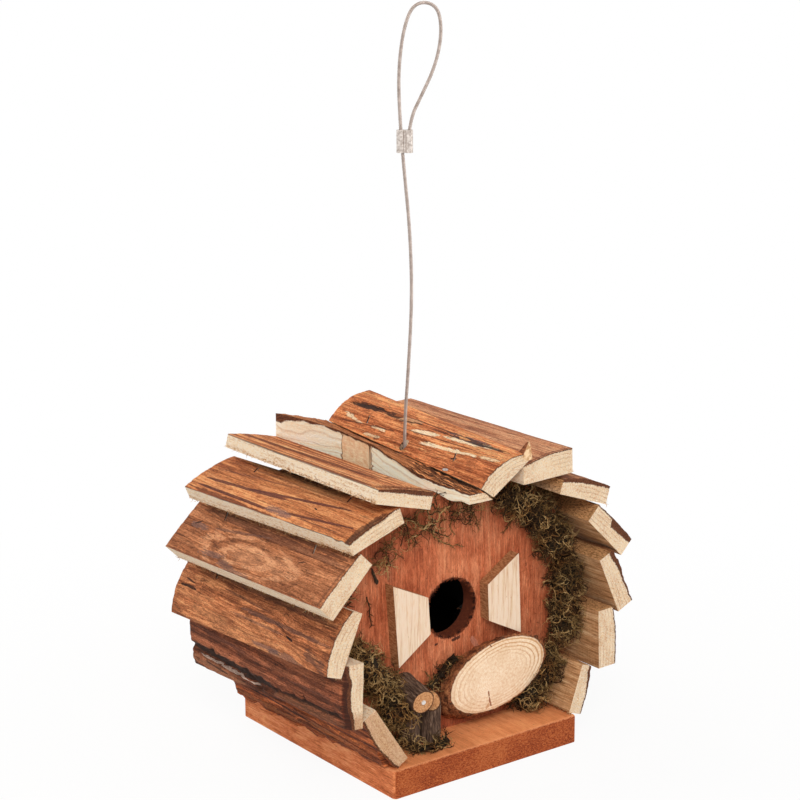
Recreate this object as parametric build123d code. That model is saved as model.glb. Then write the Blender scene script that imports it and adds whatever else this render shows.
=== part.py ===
from build123d import *
import math
import os

# All sizes are millimetres and all angles degrees. The house stands on its base board: the origin is the
# middle of the board's underside, +Z is up and the entrance faces -Y.

# Base board
base_width = 120.0
base_depth = 138.0
base_thickness = 15.0
base_corner_radius = 2.2
base_edge_radius = 1.2

# Front and back panels, sawn to one outline
panel_width = 153.0
panel_height = 128.0
panel_thickness = 10.0
front_inset = 28.6
back_inset = 20.0
# outline points as shares of half the panel's width and of its height above the base board
outline_shares = [
    (-0.62, 0.0),
    (0.73, 0.0),
    (0.835, 0.215),
    (0.992, 0.262),
    (0.992, 0.64),
    (0.887, 0.817),
    (0.60, 0.965),
    (0.34, 1.0),
    (-0.43, 1.0),
    (-0.68, 0.985),
    (-0.94, 0.835),
    (-1.0, 0.65),
    (-1.0, 0.35),
    (-0.93, 0.297),
]

# Entrance hole in the front panel
entrance_radius = 16.0
entrance_side_offset = -2.0
entrance_height = 65.0

# Waney-edged slats that lap round the panels like shingles, each over the one below it
slat_length = 140.0
slat_width = 33.0
slat_thickness = 8.6
slat_setback = 2.0
seat_clearance = 0.2
# place of the inner face's upper end as shares of half the panel's width and of its height, then the slat's
# width, lower thickness, upper thickness, crown and overhang of its outer lower edge as shares of its sizes
left_slat_shares = {
    "slat_left_1": ((-0.890, 0.275), (1.10, 0.84, 1.05, 0.28, 0.00)),
    "slat_left_2": ((-1.007, 0.446), (1.02, 0.94, 1.25, 0.15, 0.00)),
    "slat_left_3": ((-1.043, 0.652), (1.00, 1.05, 0.72, 0.42, 0.02)),
    "slat_left_4": ((-0.943, 0.840), (1.00, 1.28, 1.14, 0.05, 0.00)),
    "slat_left_5": ((-0.708, 0.971), (0.98, 0.88, 1.00, 0.18, 0.02)),
    "slat_left_6": ((-0.443, 1.013), (1.03, 0.84, 1.02, 0.08, 0.00)),
}
right_slat_shares = {
    "slat_right_1": ((0.870, 0.208), (0.80, 1.00, 0.78, 0.14, 0.00)),
    "slat_right_2": ((1.003, 0.410), (0.98, 1.35, 1.22, 0.12, 0.00)),
    "slat_right_3": ((1.013, 0.649), (1.03, 1.27, 1.22, 0.03, 0.00)),
    "slat_right_4": ((0.915, 0.827), (1.00, 1.22, 1.24, 0.04, 0.00)),
    "slat_right_5": ((0.612, 0.968), (1.02, 1.10, 0.93, 0.22, 0.00)),
    "slat_top_right": ((0.326, 1.030), (0.99, 1.50, 1.13, 0.16, 0.00)),
}
ridge_slat_shares = {
    "slat_ridge": ((0.394, 1.144), (0.82, 1.13, 0.58, 0.41, 0.11)),
}
# each slat's lean from lower to upper end, its skew in plan, and its tip to the rear
slat_turn_degrees = {
    "slat_left_1": (123.0, 0.4, 0.0),
    "slat_left_2": (87.2, -2.8, 0.6),
    "slat_left_3": (67.0, -2.6, 0.0),
    "slat_left_4": (45.0, -1.6, -0.8),
    "slat_left_5": (18.4, -2.5, -0.6),
    "slat_left_6": (-15.0, 1.7, -0.4),
    "slat_right_1": (70.2, 0.5, 0.0),
    "slat_right_2": (91.9, -0.9, 0.4),
    "slat_right_3": (114.0, 0.8, 0.0),
    "slat_right_4": (135.5, -0.6, 0.3),
    "slat_right_5": (160.6, 1.1, 0.0),
    "slat_top_right": (181.8, -1.0, -0.5),
    "slat_ridge": (33.5, 3.3, 0.6),
}

# Tapered slat that fills the valley between the ridge slat and the top left slat
valley_lap = 3.0
valley_thickness = 14.0
valley_gap = 1.6
valley_front_reach = 9.5
valley_front_splay = 6.0
valley_splay_share = 0.28
valley_toe_share = 0.4
valley_clearance = 0.3
# its sections from front to rear: place along the slat, and height of the left edge, as shares
valley_edge_shares = [(0.0, 0.40), (0.20, 0.27), (0.30, 0.34), (0.50, 0.88), (0.68, 1.0), (1.0, 0.72)]

# Wire staples through the slats into the panel edges
staple_crown = 5.6
staple_wire = 1.1
staple_leg = 17.0
staple_sink = 0.6
staple_margin = 6.0
staple_turn = 28.0

# Trapezoid shutters beside the entrance
shutter_width = 21.0
shutter_outer_height = 43.8
shutter_inner_height = 19.8
shutter_thickness = 7.0
shutter_gap = 19.3
shutter_tilts = {"shutter_left": 4.4, "shutter_right": 2.5}
shutter_rise = 1.0

# Name plaque: a slanting slice of a branch
plaque_half_length = 33.7
plaque_half_height = 19.3
plaque_thickness = 10.0
plaque_tilt = 10.5
plaque_side_offset = 21.4
plaque_height = 26.3
plaque_slant_drop = 4.6
plaque_slant_side = 2.0

# Twig perch and the two twig posts below it
perch_radius = 6.4
perch_reach = 18.8
perch_side_offset = -33.0
perch_height = 30.6
perch_droop = 10.0
perch_swing = 4.5
perch_nail_width = 1.2
perch_nail_head_radius = 1.2
perch_nail_head_height = 0.6
perch_nail_hold = 8.0
post_radius = 5.4
post_gap = 0.3
post_stand_off = 3.4
tall_post_height = 25.5
tall_post_bevel = 32.0

# Dried moss tucked against the front panel
moss_depth_share = 0.55
moss_step_share = 0.95
moss_margin = 1.2
moss_reach = 15.0
moss_swell_share = 0.16
moss_seed_degrees = 137.0
# places as shares of half the panel's width and of its height, with the tuft radius of each stretch
moss_top_radius = 6.0
moss_top_shares = [(-0.60, 0.80), (-0.42, 0.88), (-0.20, 0.93), (0.02, 0.92), (0.13, 0.95)]
moss_shoulder_radius = 8.0
moss_shoulder_shares = [(0.40, 0.95), (0.58, 0.88), (0.72, 0.80), (0.82, 0.71)]
moss_right_radius = 8.5
moss_right_shares = [(0.93, 0.57), (0.94, 0.46), (0.93, 0.33)]
moss_corner_radius = 8.0
moss_corner_shares = [(0.78, 0.19), (0.70, 0.09), (0.60, 0.05)]
moss_side_radius = 4.5
moss_side_shares = [(-0.90, 0.76), (-0.93, 0.66), (-0.93, 0.56)]
moss_left_radius = 8.0
moss_left_shares = [(-0.84, 0.42), (-0.73, 0.34), (-0.62, 0.25), (-0.55, 0.15)]
moss_plaque_radius = 3.6
moss_plaque_shares = [(-0.23, 0.21), (-0.12, 0.255), (-0.02, 0.285)]
moss_foot_radius = 4.5
# stretch at the foot of the posts, as shares of the base board's width and depth
moss_foot_shares = [(-0.325, -0.335), (-0.300, -0.415), (-0.230, -0.435), (-0.155, -0.415)]

# Ridge batten between the panels, under the slats, which carries the hanging wire
batten_width = 24.0
batten_height = 15.0
batten_drop = 3.0

# Hanging wire rope with its crimped loop, and what stops it below the batten
wire_radius = 0.9
wire_side_offset = 2.0
wire_depth_offset = 4.5
wire_bore_clearance = 0.08
slat_bore_radius = 2.5
washer_radius = 5.5
washer_thickness = 1.0
stop_radius = 3.0
stop_height = 7.0
stop_clearance = 0.3
wire_tail = 0.8
loop_plane_turn = -36.8
ferrule_width = 8.4
ferrule_thickness = 4.6
ferrule_height = 11.5
ferrule_side_offset = 1.15
ferrule_rise = 309.5
ferrule_groove_radius = 0.9
# the wire's route above the batten: distance to the side in the loop's plane, and height above the ground
wire_route = [
    (0.0, 163.0),
    (2.7, 200.0),
    (4.6, 236.0),
    (3.6, 270.0),
    (0.9, 299.0),
    (-1.1, 324.0),
    (-2.0, 348.0),
    (0.1, 367.5),
    (3.6, 379.6),
    (8.05, 384.1),
    (14.35, 384.0),
    (18.8, 379.6),
    (19.8, 367.5),
    (16.5, 352.5),
    (9.6, 338.0),
    (3.7, 326.0),
    (2.5, 311.5),
]

# Clean-out hole in the back panel, and the cover that swings over it on one screw
hatch_hole_radius = 19.0
hatch_hole_height = 52.0
hatch_lap = 6.0
hatch_thickness = 6.0
hatch_pivot_rise = 30.0
hatch_pivot_boss_radius = 9.0
hatch_clearance = 0.3
hatch_screw_radius = 2.0
hatch_screw_play = 0.05
hatch_screw_hold = 8.0
hatch_head_radius = 4.2
hatch_head_height = 2.2
hatch_slot_width = 1.0
hatch_slot_depth = 1.1

# Square brads up through the base board into the panels
brad_width = 1.8
brad_head_width = 4.4
brad_head_height = 1.2
brad_hold = 16.0
brad_spread_share = 0.36

# how far a cutting shape runs past what it cuts
overrun = 3.0

# Places that follow from the sizes
front_face = -base_depth / 2 + front_inset
front_inner = front_face + panel_thickness
back_face = base_depth / 2 - back_inset
back_inner = back_face - panel_thickness
panel_top = base_thickness + panel_height
half_panel = panel_width / 2
slat_front = -base_depth / 2 + slat_setback
slat_middle = slat_front + slat_length / 2
wire_axis = Vector(wire_side_offset, wire_depth_offset, 0)


def panel_place(share):
    """Turns a pair of shares into a place on the panel, seen from the front."""
    return half_panel * share[0], base_thickness + panel_height * share[1]


def write(node, solids):
    """Writes one node's solid, or group of solids, to its own STEP file."""
    export_step(solids, f"parts/{node}.step")
    print(node, round(solids.volume))


def prism(outline_edges, sweep):
    """Sweeps a closed outline straight along a vector."""
    return Solid.extrude(make_face(outline_edges).face(), sweep)


def box_between(low, high):
    """A box from its lowest to its highest corner."""
    size = [high[i] - low[i] for i in range(3)]
    middle = [(high[i] + low[i]) / 2 for i in range(3)]
    return Location(middle) * Box(*size)


# Base board

def make_base():
    board = Location((0, 0, base_thickness / 2)) * Box(base_width, base_depth, base_thickness)
    board = fillet(board.edges().filter_by(Axis.Z), base_corner_radius)
    return fillet(board.edges().group_by(Axis.Z)[-1], base_edge_radius)


# Panels

outline = [panel_place(share) for share in outline_shares]


def outline_prism(y_low, y_high, inset):
    """The panel's outline, drawn in on every side, as a prism between two depths."""
    middle = base_thickness + panel_height / 2
    across = 1 - inset / half_panel
    upward = 1 - inset / (panel_height / 2)
    points = [Vector(x * across, y_low, middle + (z - middle) * upward) for x, z in outline]
    return prism(Polyline(*points, close=True), Vector(0, y_high - y_low, 0))


def hole_through(x, z, radius, y_low, y_high):
    """A cutting cylinder along Y."""
    middle = Plane(origin=(x, (y_low + y_high) / 2, z), z_dir=(0, 1, 0))
    return middle * Cylinder(radius, y_high - y_low)


# Slats

class Slat:
    """One slat of the ring: its inner face is a line in section, swept along the house and a little askew."""

    def __init__(self, name, side, place, shares):
        self.name = name
        self.side = side
        self.lean, self.skew, self.tip = slat_turn_degrees[name]
        self.width = slat_width * shares[0]
        self.low = slat_thickness * shares[1]
        self.high = slat_thickness * shares[2]
        self.crown = slat_thickness * shares[3]
        self.overhang = slat_width * shares[4]
        angle = math.radians(self.lean)
        self.along = (math.cos(angle), math.sin(angle))
        self.out = (self.side * math.sin(angle), -self.side * math.cos(angle))
        x, z = panel_place(place)
        self.foot = (x - self.along[0] * self.width, z - self.along[1] * self.width)

    def drift(self, y):
        """How far the skew carries the slat up its own slope at a depth."""
        return math.tan(math.radians(self.skew)) * (y - slat_middle)

    def lift(self, y):
        """How far the tip carries the slat outwards at a depth."""
        return math.tan(math.radians(self.tip)) * (y - slat_middle)

    def point(self, w, t, y):
        """A point w up the slope from the lower end and t out from the inner face, at a depth."""
        w = w + self.drift(y)
        t = t + self.lift(y)
        return (
            self.foot[0] + self.along[0] * w + self.out[0] * t,
            self.foot[1] + self.along[1] * w + self.out[1] * t,
        )

    def outer(self, w):
        """Distance of the crowned outer face from the inner face."""
        share = w / self.width
        return self.low + (self.high - self.low) * share + self.crown * 4 * share * (1 - share)

    def measure(self, place, y):
        """A place in the slat's own terms: up the slope, and out from the inner face."""
        dx = place[0] - self.foot[0]
        dz = place[1] - self.foot[1]
        w = dx * self.along[0] + dz * self.along[1] - self.drift(y)
        return w, dx * self.out[0] + dz * self.out[1] - self.lift(y)

    def toe(self, y):
        """The outer lower edge at a depth."""
        return self.point(-self.overhang, self.low, y)

    def section(self, y):
        """The slat's outline at a depth, with its crown as short steps."""
        steps = 8
        places = [self.width * i / steps for i in range(1, steps + 1)]
        rim = [self.toe(y)] + [self.point(w, self.outer(w), y) for w in places]
        return [self.point(0, 0, y)] + rim + [self.point(self.width, 0, y)]

    def crest(self, polygon, y):
        """Where a polygon under the inner face stands furthest out: (distance out, place up)."""
        best = None
        for i in range(len(polygon)):
            w1, t1 = self.measure(polygon[i - 1], y)
            w2, t2 = self.measure(polygon[i], y)
            for w, t in clip(w1, t1, w2, t2, self.width):
                if best is None or t > best[0]:
                    best = (t, w)
        return best

    def move(self, distance_out, distance_up):
        self.foot = (
            self.foot[0] + self.out[0] * distance_out + self.along[0] * distance_up,
            self.foot[1] + self.out[1] * distance_out + self.along[1] * distance_up,
        )

    def rest_on(self, others):
        """Moves the slat along its thickness until it lies on the panels and the slats below it."""
        ends = (slat_front, slat_front + slat_length)
        crests = [self.crest(outline, y) for y in ends]
        crests += [self.crest(other.section(y), y) for other in others for y in ends]
        self.move(max(c[0] for c in crests if c) + seat_clearance, 0)

    def stand_on_base(self):
        """Slides the slat up its slope until its lower end clears the base board."""
        ends = (slat_front, slat_front + slat_length)
        rises = []
        for y in ends:
            for t in (0, self.low):
                x, z = self.point(0, t, y)
                if abs(x) < base_width / 2:
                    rises.append((base_thickness + seat_clearance - z) / self.along[1])
            w, t = self.measure((self.side * base_width / 2, base_thickness), y)
            if 0 < t < self.low:
                rises.append(w + seat_clearance)
        self.move(0, max(rises, default=0))

    def solid(self):
        y = slat_front
        corners = [
            self.point(0, 0, y),
            self.point(self.width, 0, y),
            self.point(self.width, self.high, y),
            self.point(self.width / 2, self.outer(self.width / 2), y),
            self.toe(y),
        ]
        foot, inner, shoulder, middle, toe = [Vector(x, y, z) for x, z in corners]
        edges = [
            Line(foot, inner),
            Line(inner, shoulder),
            ThreePointArc(shoulder, middle, toe),
            Line(toe, foot),
        ]
        rise = self.drift(y + slat_length) - self.drift(y)
        swell = self.lift(y + slat_length) - self.lift(y)
        sweep = Vector(
            self.along[0] * rise + self.out[0] * swell,
            slat_length,
            self.along[1] * rise + self.out[1] * swell,
        )
        return prism(edges, sweep)

    def staple_place(self, y):
        """How far up the slope a staple goes, near where the slat touches the panel."""
        crest = self.crest(outline, y)
        return min(max(crest[1], staple_margin), self.width - staple_margin)

    def staple(self, y, past):
        """A wire staple at a depth, standing past its sunk crown by a length."""
        w = self.staple_place(y)
        x, z = self.point(w, self.outer(w) - staple_sink, y)
        out = Vector(self.out[0], 0, self.out[1])
        along = Vector(self.along[0], 0, self.along[1])
        turned = along.rotate(Axis((0, 0, 0), out), staple_turn)
        frame = Plane(origin=(x, y, z), x_dir=turned, z_dir=out)
        crown_middle = (past - staple_wire) / 2
        crown = Location((0, 0, crown_middle)) * Box(staple_crown, staple_wire, staple_wire + past)
        leg = Box(staple_wire, staple_wire, staple_leg)
        reach = (staple_crown - staple_wire) / 2
        legs = [Location((side * reach, 0, -staple_leg / 2)) * leg for side in (-1, 1)]
        return frame * (crown + legs[0] + legs[1])


def clip(w1, t1, w2, t2, width):
    """The ends of a line after what lies beyond the slat's width is cut off."""
    if max(w1, w2) < 0 or min(w1, w2) > width:
        return []
    ends = []
    for w, t in ((w1, t1), (w2, t2)):
        kept = min(max(w, 0), width)
        if kept != w:
            t = t1 + (t2 - t1) * (kept - w1) / (w2 - w1)
        ends.append((kept, t))
    return ends


def lay_slats(rows, side, under):
    """Lays slats from the lowest up, each on the panels and on those below it."""
    laid = []
    for name, (place, shares) in rows.items():
        slat = Slat(name, side, place, shares)
        slat.rest_on(laid + under)
        if not laid and not under:
            slat.stand_on_base()
            slat.rest_on([])
        laid.append(slat)
    return laid


slats = lay_slats(left_slat_shares, -1, [])
top_left = slats[-1]
right = lay_slats(right_slat_shares, 1, [])
ridge = lay_slats(ridge_slat_shares, -1, [right[-1]])[0]
slats += right + [ridge]


# Valley slat

def valley_section(share, edge_share):
    """A section of the tapered slat: lower left, upper left, upper right and lower right corner."""
    y = slat_front + slat_length * share
    edge = valley_thickness * edge_share
    reach = valley_front_reach + valley_front_splay * max(0, 1 - share / valley_splay_share)
    ground = panel_top + seat_clearance
    lap = top_left.width - valley_lap
    rear_left = top_left.point(lap, top_left.outer(lap) + seat_clearance, slat_front + slat_length)
    front_left = (ridge.point(0, 0, slat_front)[0] - reach, ground)
    left_x = front_left[0] + (rear_left[0] - front_left[0]) * share
    left_z = front_left[1] + (rear_left[1] - front_left[1]) * share
    toe = ridge.toe(y)
    heel = ridge.point(0, 0, y)
    down = valley_toe_share * (1 - share)
    top = (toe[0] + (heel[0] - toe[0]) * down - valley_gap, toe[1] + (heel[1] - toe[1]) * down)
    run = (heel[0] - toe[0]) / (toe[1] - heel[1]) * (top[1] - ground)
    corners = [(left_x, left_z), (left_x, left_z + edge), top, (top[0] + run, ground)]
    return make_face(Polyline(*[Vector(x, y, z) for x, z in corners], close=True)).face()


def make_valley():
    return loft([valley_section(share, edge_share) for share, edge_share in valley_edge_shares], ruled=True)


# Shutters

def make_shutter(node):
    side = -1 if node == "shutter_left" else 1
    x_inner = side * shutter_gap
    x_outer = side * (shutter_gap + shutter_width)
    tilt = math.radians(shutter_tilts[node])
    rise = entrance_height + base_thickness + shutter_rise
    corners = [
        (x_inner, -shutter_inner_height / 2),
        (x_outer, -shutter_outer_height / 2),
        (x_outer, shutter_outer_height / 2),
        (x_inner, shutter_inner_height / 2),
    ]
    middle = side * (shutter_gap + shutter_width / 2)
    points = []
    for x, z in corners:
        turned_x = middle + (x - middle) * math.cos(tilt) - z * math.sin(tilt)
        turned_z = (x - middle) * math.sin(tilt) + z * math.cos(tilt)
        points.append(Vector(entrance_side_offset + turned_x, front_face, rise + turned_z))
    return prism(Polyline(*points, close=True), Vector(0, -shutter_thickness, 0))


# Plaque

def make_plaque():
    tilt = math.radians(plaque_tilt)
    middle = Vector(plaque_side_offset, front_face - plaque_thickness, base_thickness + plaque_height)
    frame = Plane(origin=middle, x_dir=(math.cos(tilt), 0, math.sin(tilt)), z_dir=(0, -1, 0))
    face = (frame * Ellipse(plaque_half_length, plaque_half_height)).face()
    return Solid.extrude(face, Vector(-plaque_slant_side, plaque_thickness, -plaque_slant_drop))


# Perch and posts

perch_root = Vector(perch_side_offset, front_face, base_thickness + perch_height)
perch_heading = Vector(
    -math.sin(math.radians(perch_swing)),
    -math.cos(math.radians(perch_swing)) * math.cos(math.radians(perch_droop)),
    -math.sin(math.radians(perch_droop)),
).normalized()
perch_length = perch_reach / -perch_heading.Y


def perch_nail():
    """A square-shanked nail along the perch into the panel, its head proud of the end."""
    frame = Plane(origin=perch_root + perch_heading * perch_length, z_dir=perch_heading)
    shank_length = perch_length + perch_nail_hold
    shank = Location((0, 0, -shank_length / 2)) * Box(perch_nail_width, perch_nail_width, shank_length)
    head_middle = perch_nail_head_height / 2
    head = Location((0, 0, head_middle)) * Cylinder(perch_nail_head_radius, perch_nail_head_height)
    return frame * (shank + head)


def make_perch(nail):
    behind = perch_radius * 2
    full = perch_length + behind
    frame = Plane(origin=perch_root - perch_heading * behind, z_dir=perch_heading)
    twig = frame * (Location((0, 0, full / 2)) * Cylinder(perch_radius, full))
    span = perch_reach * 2
    front = box_between(
        (perch_root.X - span, front_face - span, perch_root.Z - span),
        (perch_root.X + span, front_face, perch_root.Z + span),
    )
    return (twig & front) - nail


def post_places():
    """The low post under the perch and the tall one beside it, side by side on the base board."""
    low = (perch_side_offset, front_face - post_radius - seat_clearance)
    tall_y = front_face - post_radius - post_stand_off
    step = math.sqrt((2 * post_radius + post_gap) ** 2 - (tall_y - low[1]) ** 2)
    return low, (low[0] + step, tall_y)


def make_posts():
    low, tall = post_places()
    droop = math.tan(math.radians(perch_droop))
    underside = perch_root.Z - perch_radius / math.cos(math.radians(perch_droop))
    low_top = underside - droop * (2 * post_radius + seat_clearance) - post_gap
    low_height = low_top - base_thickness
    low_post = Location((low[0], low[1], base_thickness + low_height / 2))
    low_post = low_post * Cylinder(post_radius, low_height)
    tall_post = Location((tall[0], tall[1], base_thickness + tall_post_height / 2))
    tall_post = tall_post * Cylinder(post_radius, tall_post_height)
    bevel = math.radians(tall_post_bevel)
    cut_at = Vector(tall[0], tall[1], base_thickness + tall_post_height - post_radius * math.tan(bevel))
    slope = Plane(origin=cut_at, z_dir=(-math.sin(bevel) / 2, -math.sin(bevel), math.cos(bevel)))
    wide = tall_post_height * 2
    above = slope * (Location((0, 0, tall_post_height / 2)) * Box(wide, wide, tall_post_height))
    return low_post, tall_post - above


# Moss

def tufts(route, radius):
    """Overlapping round tufts along a route, swelling and shrinking a little."""
    places = []
    for start, end in zip(route, route[1:]):
        span = (end - start).length
        steps = max(1, round(span / (radius * moss_step_share)))
        places += [start + (end - start) * (i / steps) for i in range(steps)]
    places.append(route[-1])
    balls = []
    for i, place in enumerate(places):
        swell = 1 + moss_swell_share * math.sin(math.radians(moss_seed_degrees * i))
        balls.append(Location(place) * Sphere(radius * swell))
    return balls[0].fuse(*balls[1:])


def make_moss(shares, radius, neighbours):
    """Moss along the front panel, inside the ring of slats and cut round what it touches."""
    route = []
    for share in shares:
        x, z = panel_place(share)
        route.append(Vector(x, front_face - radius * moss_depth_share, z))
    clump = tufts(route, radius) & outline_prism(front_face - moss_reach, front_face, moss_margin)
    for neighbour in neighbours:
        clump = clump - neighbour
    return biggest(clump)


def make_foot_moss(neighbours):
    route = [
        Vector(base_width * x, base_depth * y, base_thickness + moss_foot_radius / 4)
        for x, y in moss_foot_shares
    ]
    clump = tufts(route, moss_foot_radius)
    half = base_depth
    ground = box_between((-half, -half, base_thickness), (half, front_face, base_thickness + half))
    clump = clump & ground
    for neighbour in neighbours:
        clump = clump - neighbour
    return biggest(clump)


def biggest(shape):
    """The largest solid of a shape that a cut may have split."""
    return max(shape.solids(), key=lambda solid: solid.volume)


# Batten, washer, stop and wire

batten_top = panel_top - batten_drop
batten_bottom = batten_top - batten_height
stop_top = batten_bottom - washer_thickness - stop_clearance
wire_end = stop_top - stop_height - wire_tail


def on_wire_axis(height):
    return Location((wire_side_offset, wire_depth_offset, height))


def make_batten():
    low = (wire_side_offset - batten_width / 2, front_inner, batten_bottom)
    high = (wire_side_offset + batten_width / 2, back_inner, batten_top)
    bore_length = 2 * batten_height + overrun
    bore = on_wire_axis(batten_top) * Cylinder(wire_radius + wire_bore_clearance, bore_length)
    return box_between(low, high) - bore


def make_washer():
    middle = on_wire_axis(batten_bottom - washer_thickness / 2)
    disc = middle * Cylinder(washer_radius, washer_thickness)
    return disc - middle * Cylinder(wire_radius + wire_bore_clearance, washer_thickness + overrun)


def loop_place(side, height):
    """A place in the vertical plane through the wire that the loop lies in."""
    turn = math.radians(loop_plane_turn)
    return wire_axis + Vector(side * math.cos(turn), side * math.sin(turn), height)


def make_wire():
    """The rope as straight runs joined by arcs, each as large as its two runs allow."""
    points = [loop_place(0, wire_end)] + [loop_place(side, height) for side, height in wire_route]
    radii = []
    for before, corner, after in zip(points, points[1:], points[2:]):
        arriving = corner - before
        leaving = after - corner
        half_turn = math.radians(arriving.get_angle(leaving)) / 2
        shorter = min(arriving.length, leaving.length)
        radii.append(0.45 * shorter / math.tan(half_turn))
    print("wire radii", [round(radius, 1) for radius in radii])
    path = FilletPolyline(*points, radius=radii)
    start = Plane(origin=points[0], z_dir=points[1] - points[0])
    rope = sweep((start * Circle(wire_radius)).face(), path=path)
    print("wire length", round(path.length, 1))
    print("wire volume over section times length", rope.volume / (math.pi * wire_radius**2 * path.length))
    return rope


def make_ferrule(wire):
    """An oval sleeve crimped over both strands, with a pressed groove on each side."""
    middle = loop_place(ferrule_side_offset, ferrule_rise + ferrule_height / 2)
    turn = math.radians(loop_plane_turn)
    frame = Plane(origin=middle, x_dir=(math.cos(turn), math.sin(turn), 0), z_dir=(0, 0, 1))
    outline_face = (frame * SlotOverall(ferrule_width, ferrule_thickness)).face()
    half = Vector(0, 0, ferrule_height / 2)
    sleeve = Solid.extrude(outline_face.moved(Location(-half)), half * 2)
    groove = Cylinder(ferrule_groove_radius, ferrule_height + overrun)
    for side in (-1, 1):
        sleeve = sleeve - frame * (Location((0, side * ferrule_thickness / 2, 0)) * groove)
    return sleeve - wire


def make_stop(wire):
    middle = on_wire_axis(stop_top - stop_height / 2)
    return middle * Cylinder(stop_radius, stop_height) - wire


# Clean-out cover

hatch_centre_height = base_thickness + hatch_hole_height
pivot_height = hatch_centre_height + hatch_pivot_rise
cover_front = back_face + hatch_clearance
cover_back = cover_front + hatch_thickness
head_front = cover_back + hatch_clearance


def hatch_screw(radius, start, end):
    return hole_through(0, pivot_height, radius, start, end)


def make_cover():
    """A tear-shaped board, wide over the hole and narrow at its screw."""
    wide = hatch_hole_radius + hatch_lap
    reach = hatch_pivot_rise
    flank = math.acos((wide - hatch_pivot_boss_radius) / reach)
    low = (wide * math.sin(flank), wide * math.cos(flank))
    high = (hatch_pivot_boss_radius * math.sin(flank), reach + hatch_pivot_boss_radius * math.cos(flank))

    def place(x, z):
        return Vector(x, cover_front, hatch_centre_height + z)

    edges = [
        ThreePointArc(place(*low), place(0, -wide), place(-low[0], low[1])),
        Line(place(-low[0], low[1]), place(-high[0], high[1])),
        ThreePointArc(place(-high[0], high[1]), place(0, reach + hatch_pivot_boss_radius), place(*high)),
        Line(place(*high), place(*low)),
    ]
    board = prism(edges, Vector(0, hatch_thickness, 0))
    bore = hatch_screw(hatch_screw_radius + hatch_screw_play, cover_front - overrun, cover_back + overrun)
    return board - bore


def make_screw():
    shank = hatch_screw(hatch_screw_radius, back_face - hatch_screw_hold, head_front)
    head_back = head_front + hatch_head_height
    head = hatch_screw(hatch_head_radius, head_front, head_back)
    slot = box_between(
        (-hatch_head_radius - overrun, head_back - hatch_slot_depth, pivot_height - hatch_slot_width / 2),
        (hatch_head_radius + overrun, head_back + overrun, pivot_height + hatch_slot_width / 2),
    )
    return shank + head - slot


# Base brads

def make_base_brads():
    """Square brads driven up through the base board, two into each panel."""
    brads = []
    for y in ((front_face + front_inner) / 2, (back_face + back_inner) / 2):
        for side in (-1, 1):
            x = side * base_width * brad_spread_share
            top = base_thickness + brad_hold
            thin = brad_width / 2
            half = brad_head_width / 2
            shank = box_between((x - thin, y - thin, 0), (x + thin, y + thin, top))
            head = box_between((x - half, y - half, 0), (x + half, y + half, brad_head_height))
            brads.append(shank + head)
    return brads


# Build every piece and write it

os.makedirs("parts", exist_ok=True)

brads = make_base_brads()
base = make_base()
for brad in brads:
    base = base - brad

nail = perch_nail()
plaque = make_plaque()
perch = make_perch(nail)
low_post, tall_post = make_posts()

front_panel = outline_prism(front_face, front_inner, 0)
entrance_z = base_thickness + entrance_height
front_panel = front_panel - hole_through(
    entrance_side_offset, entrance_z, entrance_radius, front_face - overrun, front_inner + overrun
)
back_panel = outline_prism(back_inner, back_face, 0)
back_panel = back_panel - hole_through(
    0, hatch_centre_height, hatch_hole_radius, back_inner - overrun, back_face + overrun
)
screw = make_screw()
back_panel = back_panel - screw
front_panel = front_panel - nail
for brad in brads:
    front_panel = front_panel - brad
    back_panel = back_panel - brad

staple_rows = {
    "staples_front": (front_face + front_inner) / 2,
    "staples_back": (back_face + back_inner) / 2,
}
slat_solids = {slat.name: slat.solid() for slat in slats}
staples = {}
for node, y in staple_rows.items():
    group = []
    for slat in slats:
        staple = slat.staple(y, 0)
        group.append(staple)
        slat_solids[slat.name] = slat_solids[slat.name] - slat.staple(y, overrun)
        if node == "staples_front":
            front_panel = front_panel - staple
        else:
            back_panel = back_panel - staple
    staples[node] = group

above_batten = on_wire_axis(panel_top + base_depth / 2) * Cylinder(slat_bore_radius, base_depth)
inwards = Vector(-ridge.out[0], 0, -ridge.out[1]) * valley_clearance
slat_solids["slat_ridge"] = slat_solids["slat_ridge"] - above_batten
slat_solids["slat_valley"] = make_valley() - above_batten - ridge.solid().moved(Location(inwards))
for group in staples.values():
    slat_solids["slat_valley"] = slat_solids["slat_valley"] - group[-1]

wire = make_wire()

shutters = {node: make_shutter(node) for node in shutter_tilts}
trim = list(shutters.values()) + [plaque, perch, nail, low_post, tall_post]
front_moss = {
    "moss_top_left": (moss_top_shares, moss_top_radius),
    "moss_shoulder": (moss_shoulder_shares, moss_shoulder_radius),
    "moss_right": (moss_right_shares, moss_right_radius),
    "moss_corner": (moss_corner_shares, moss_corner_radius),
    "moss_side": (moss_side_shares, moss_side_radius),
    "moss_left": (moss_left_shares, moss_left_radius),
    "moss_plaque": (moss_plaque_shares, moss_plaque_radius),
}

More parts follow.
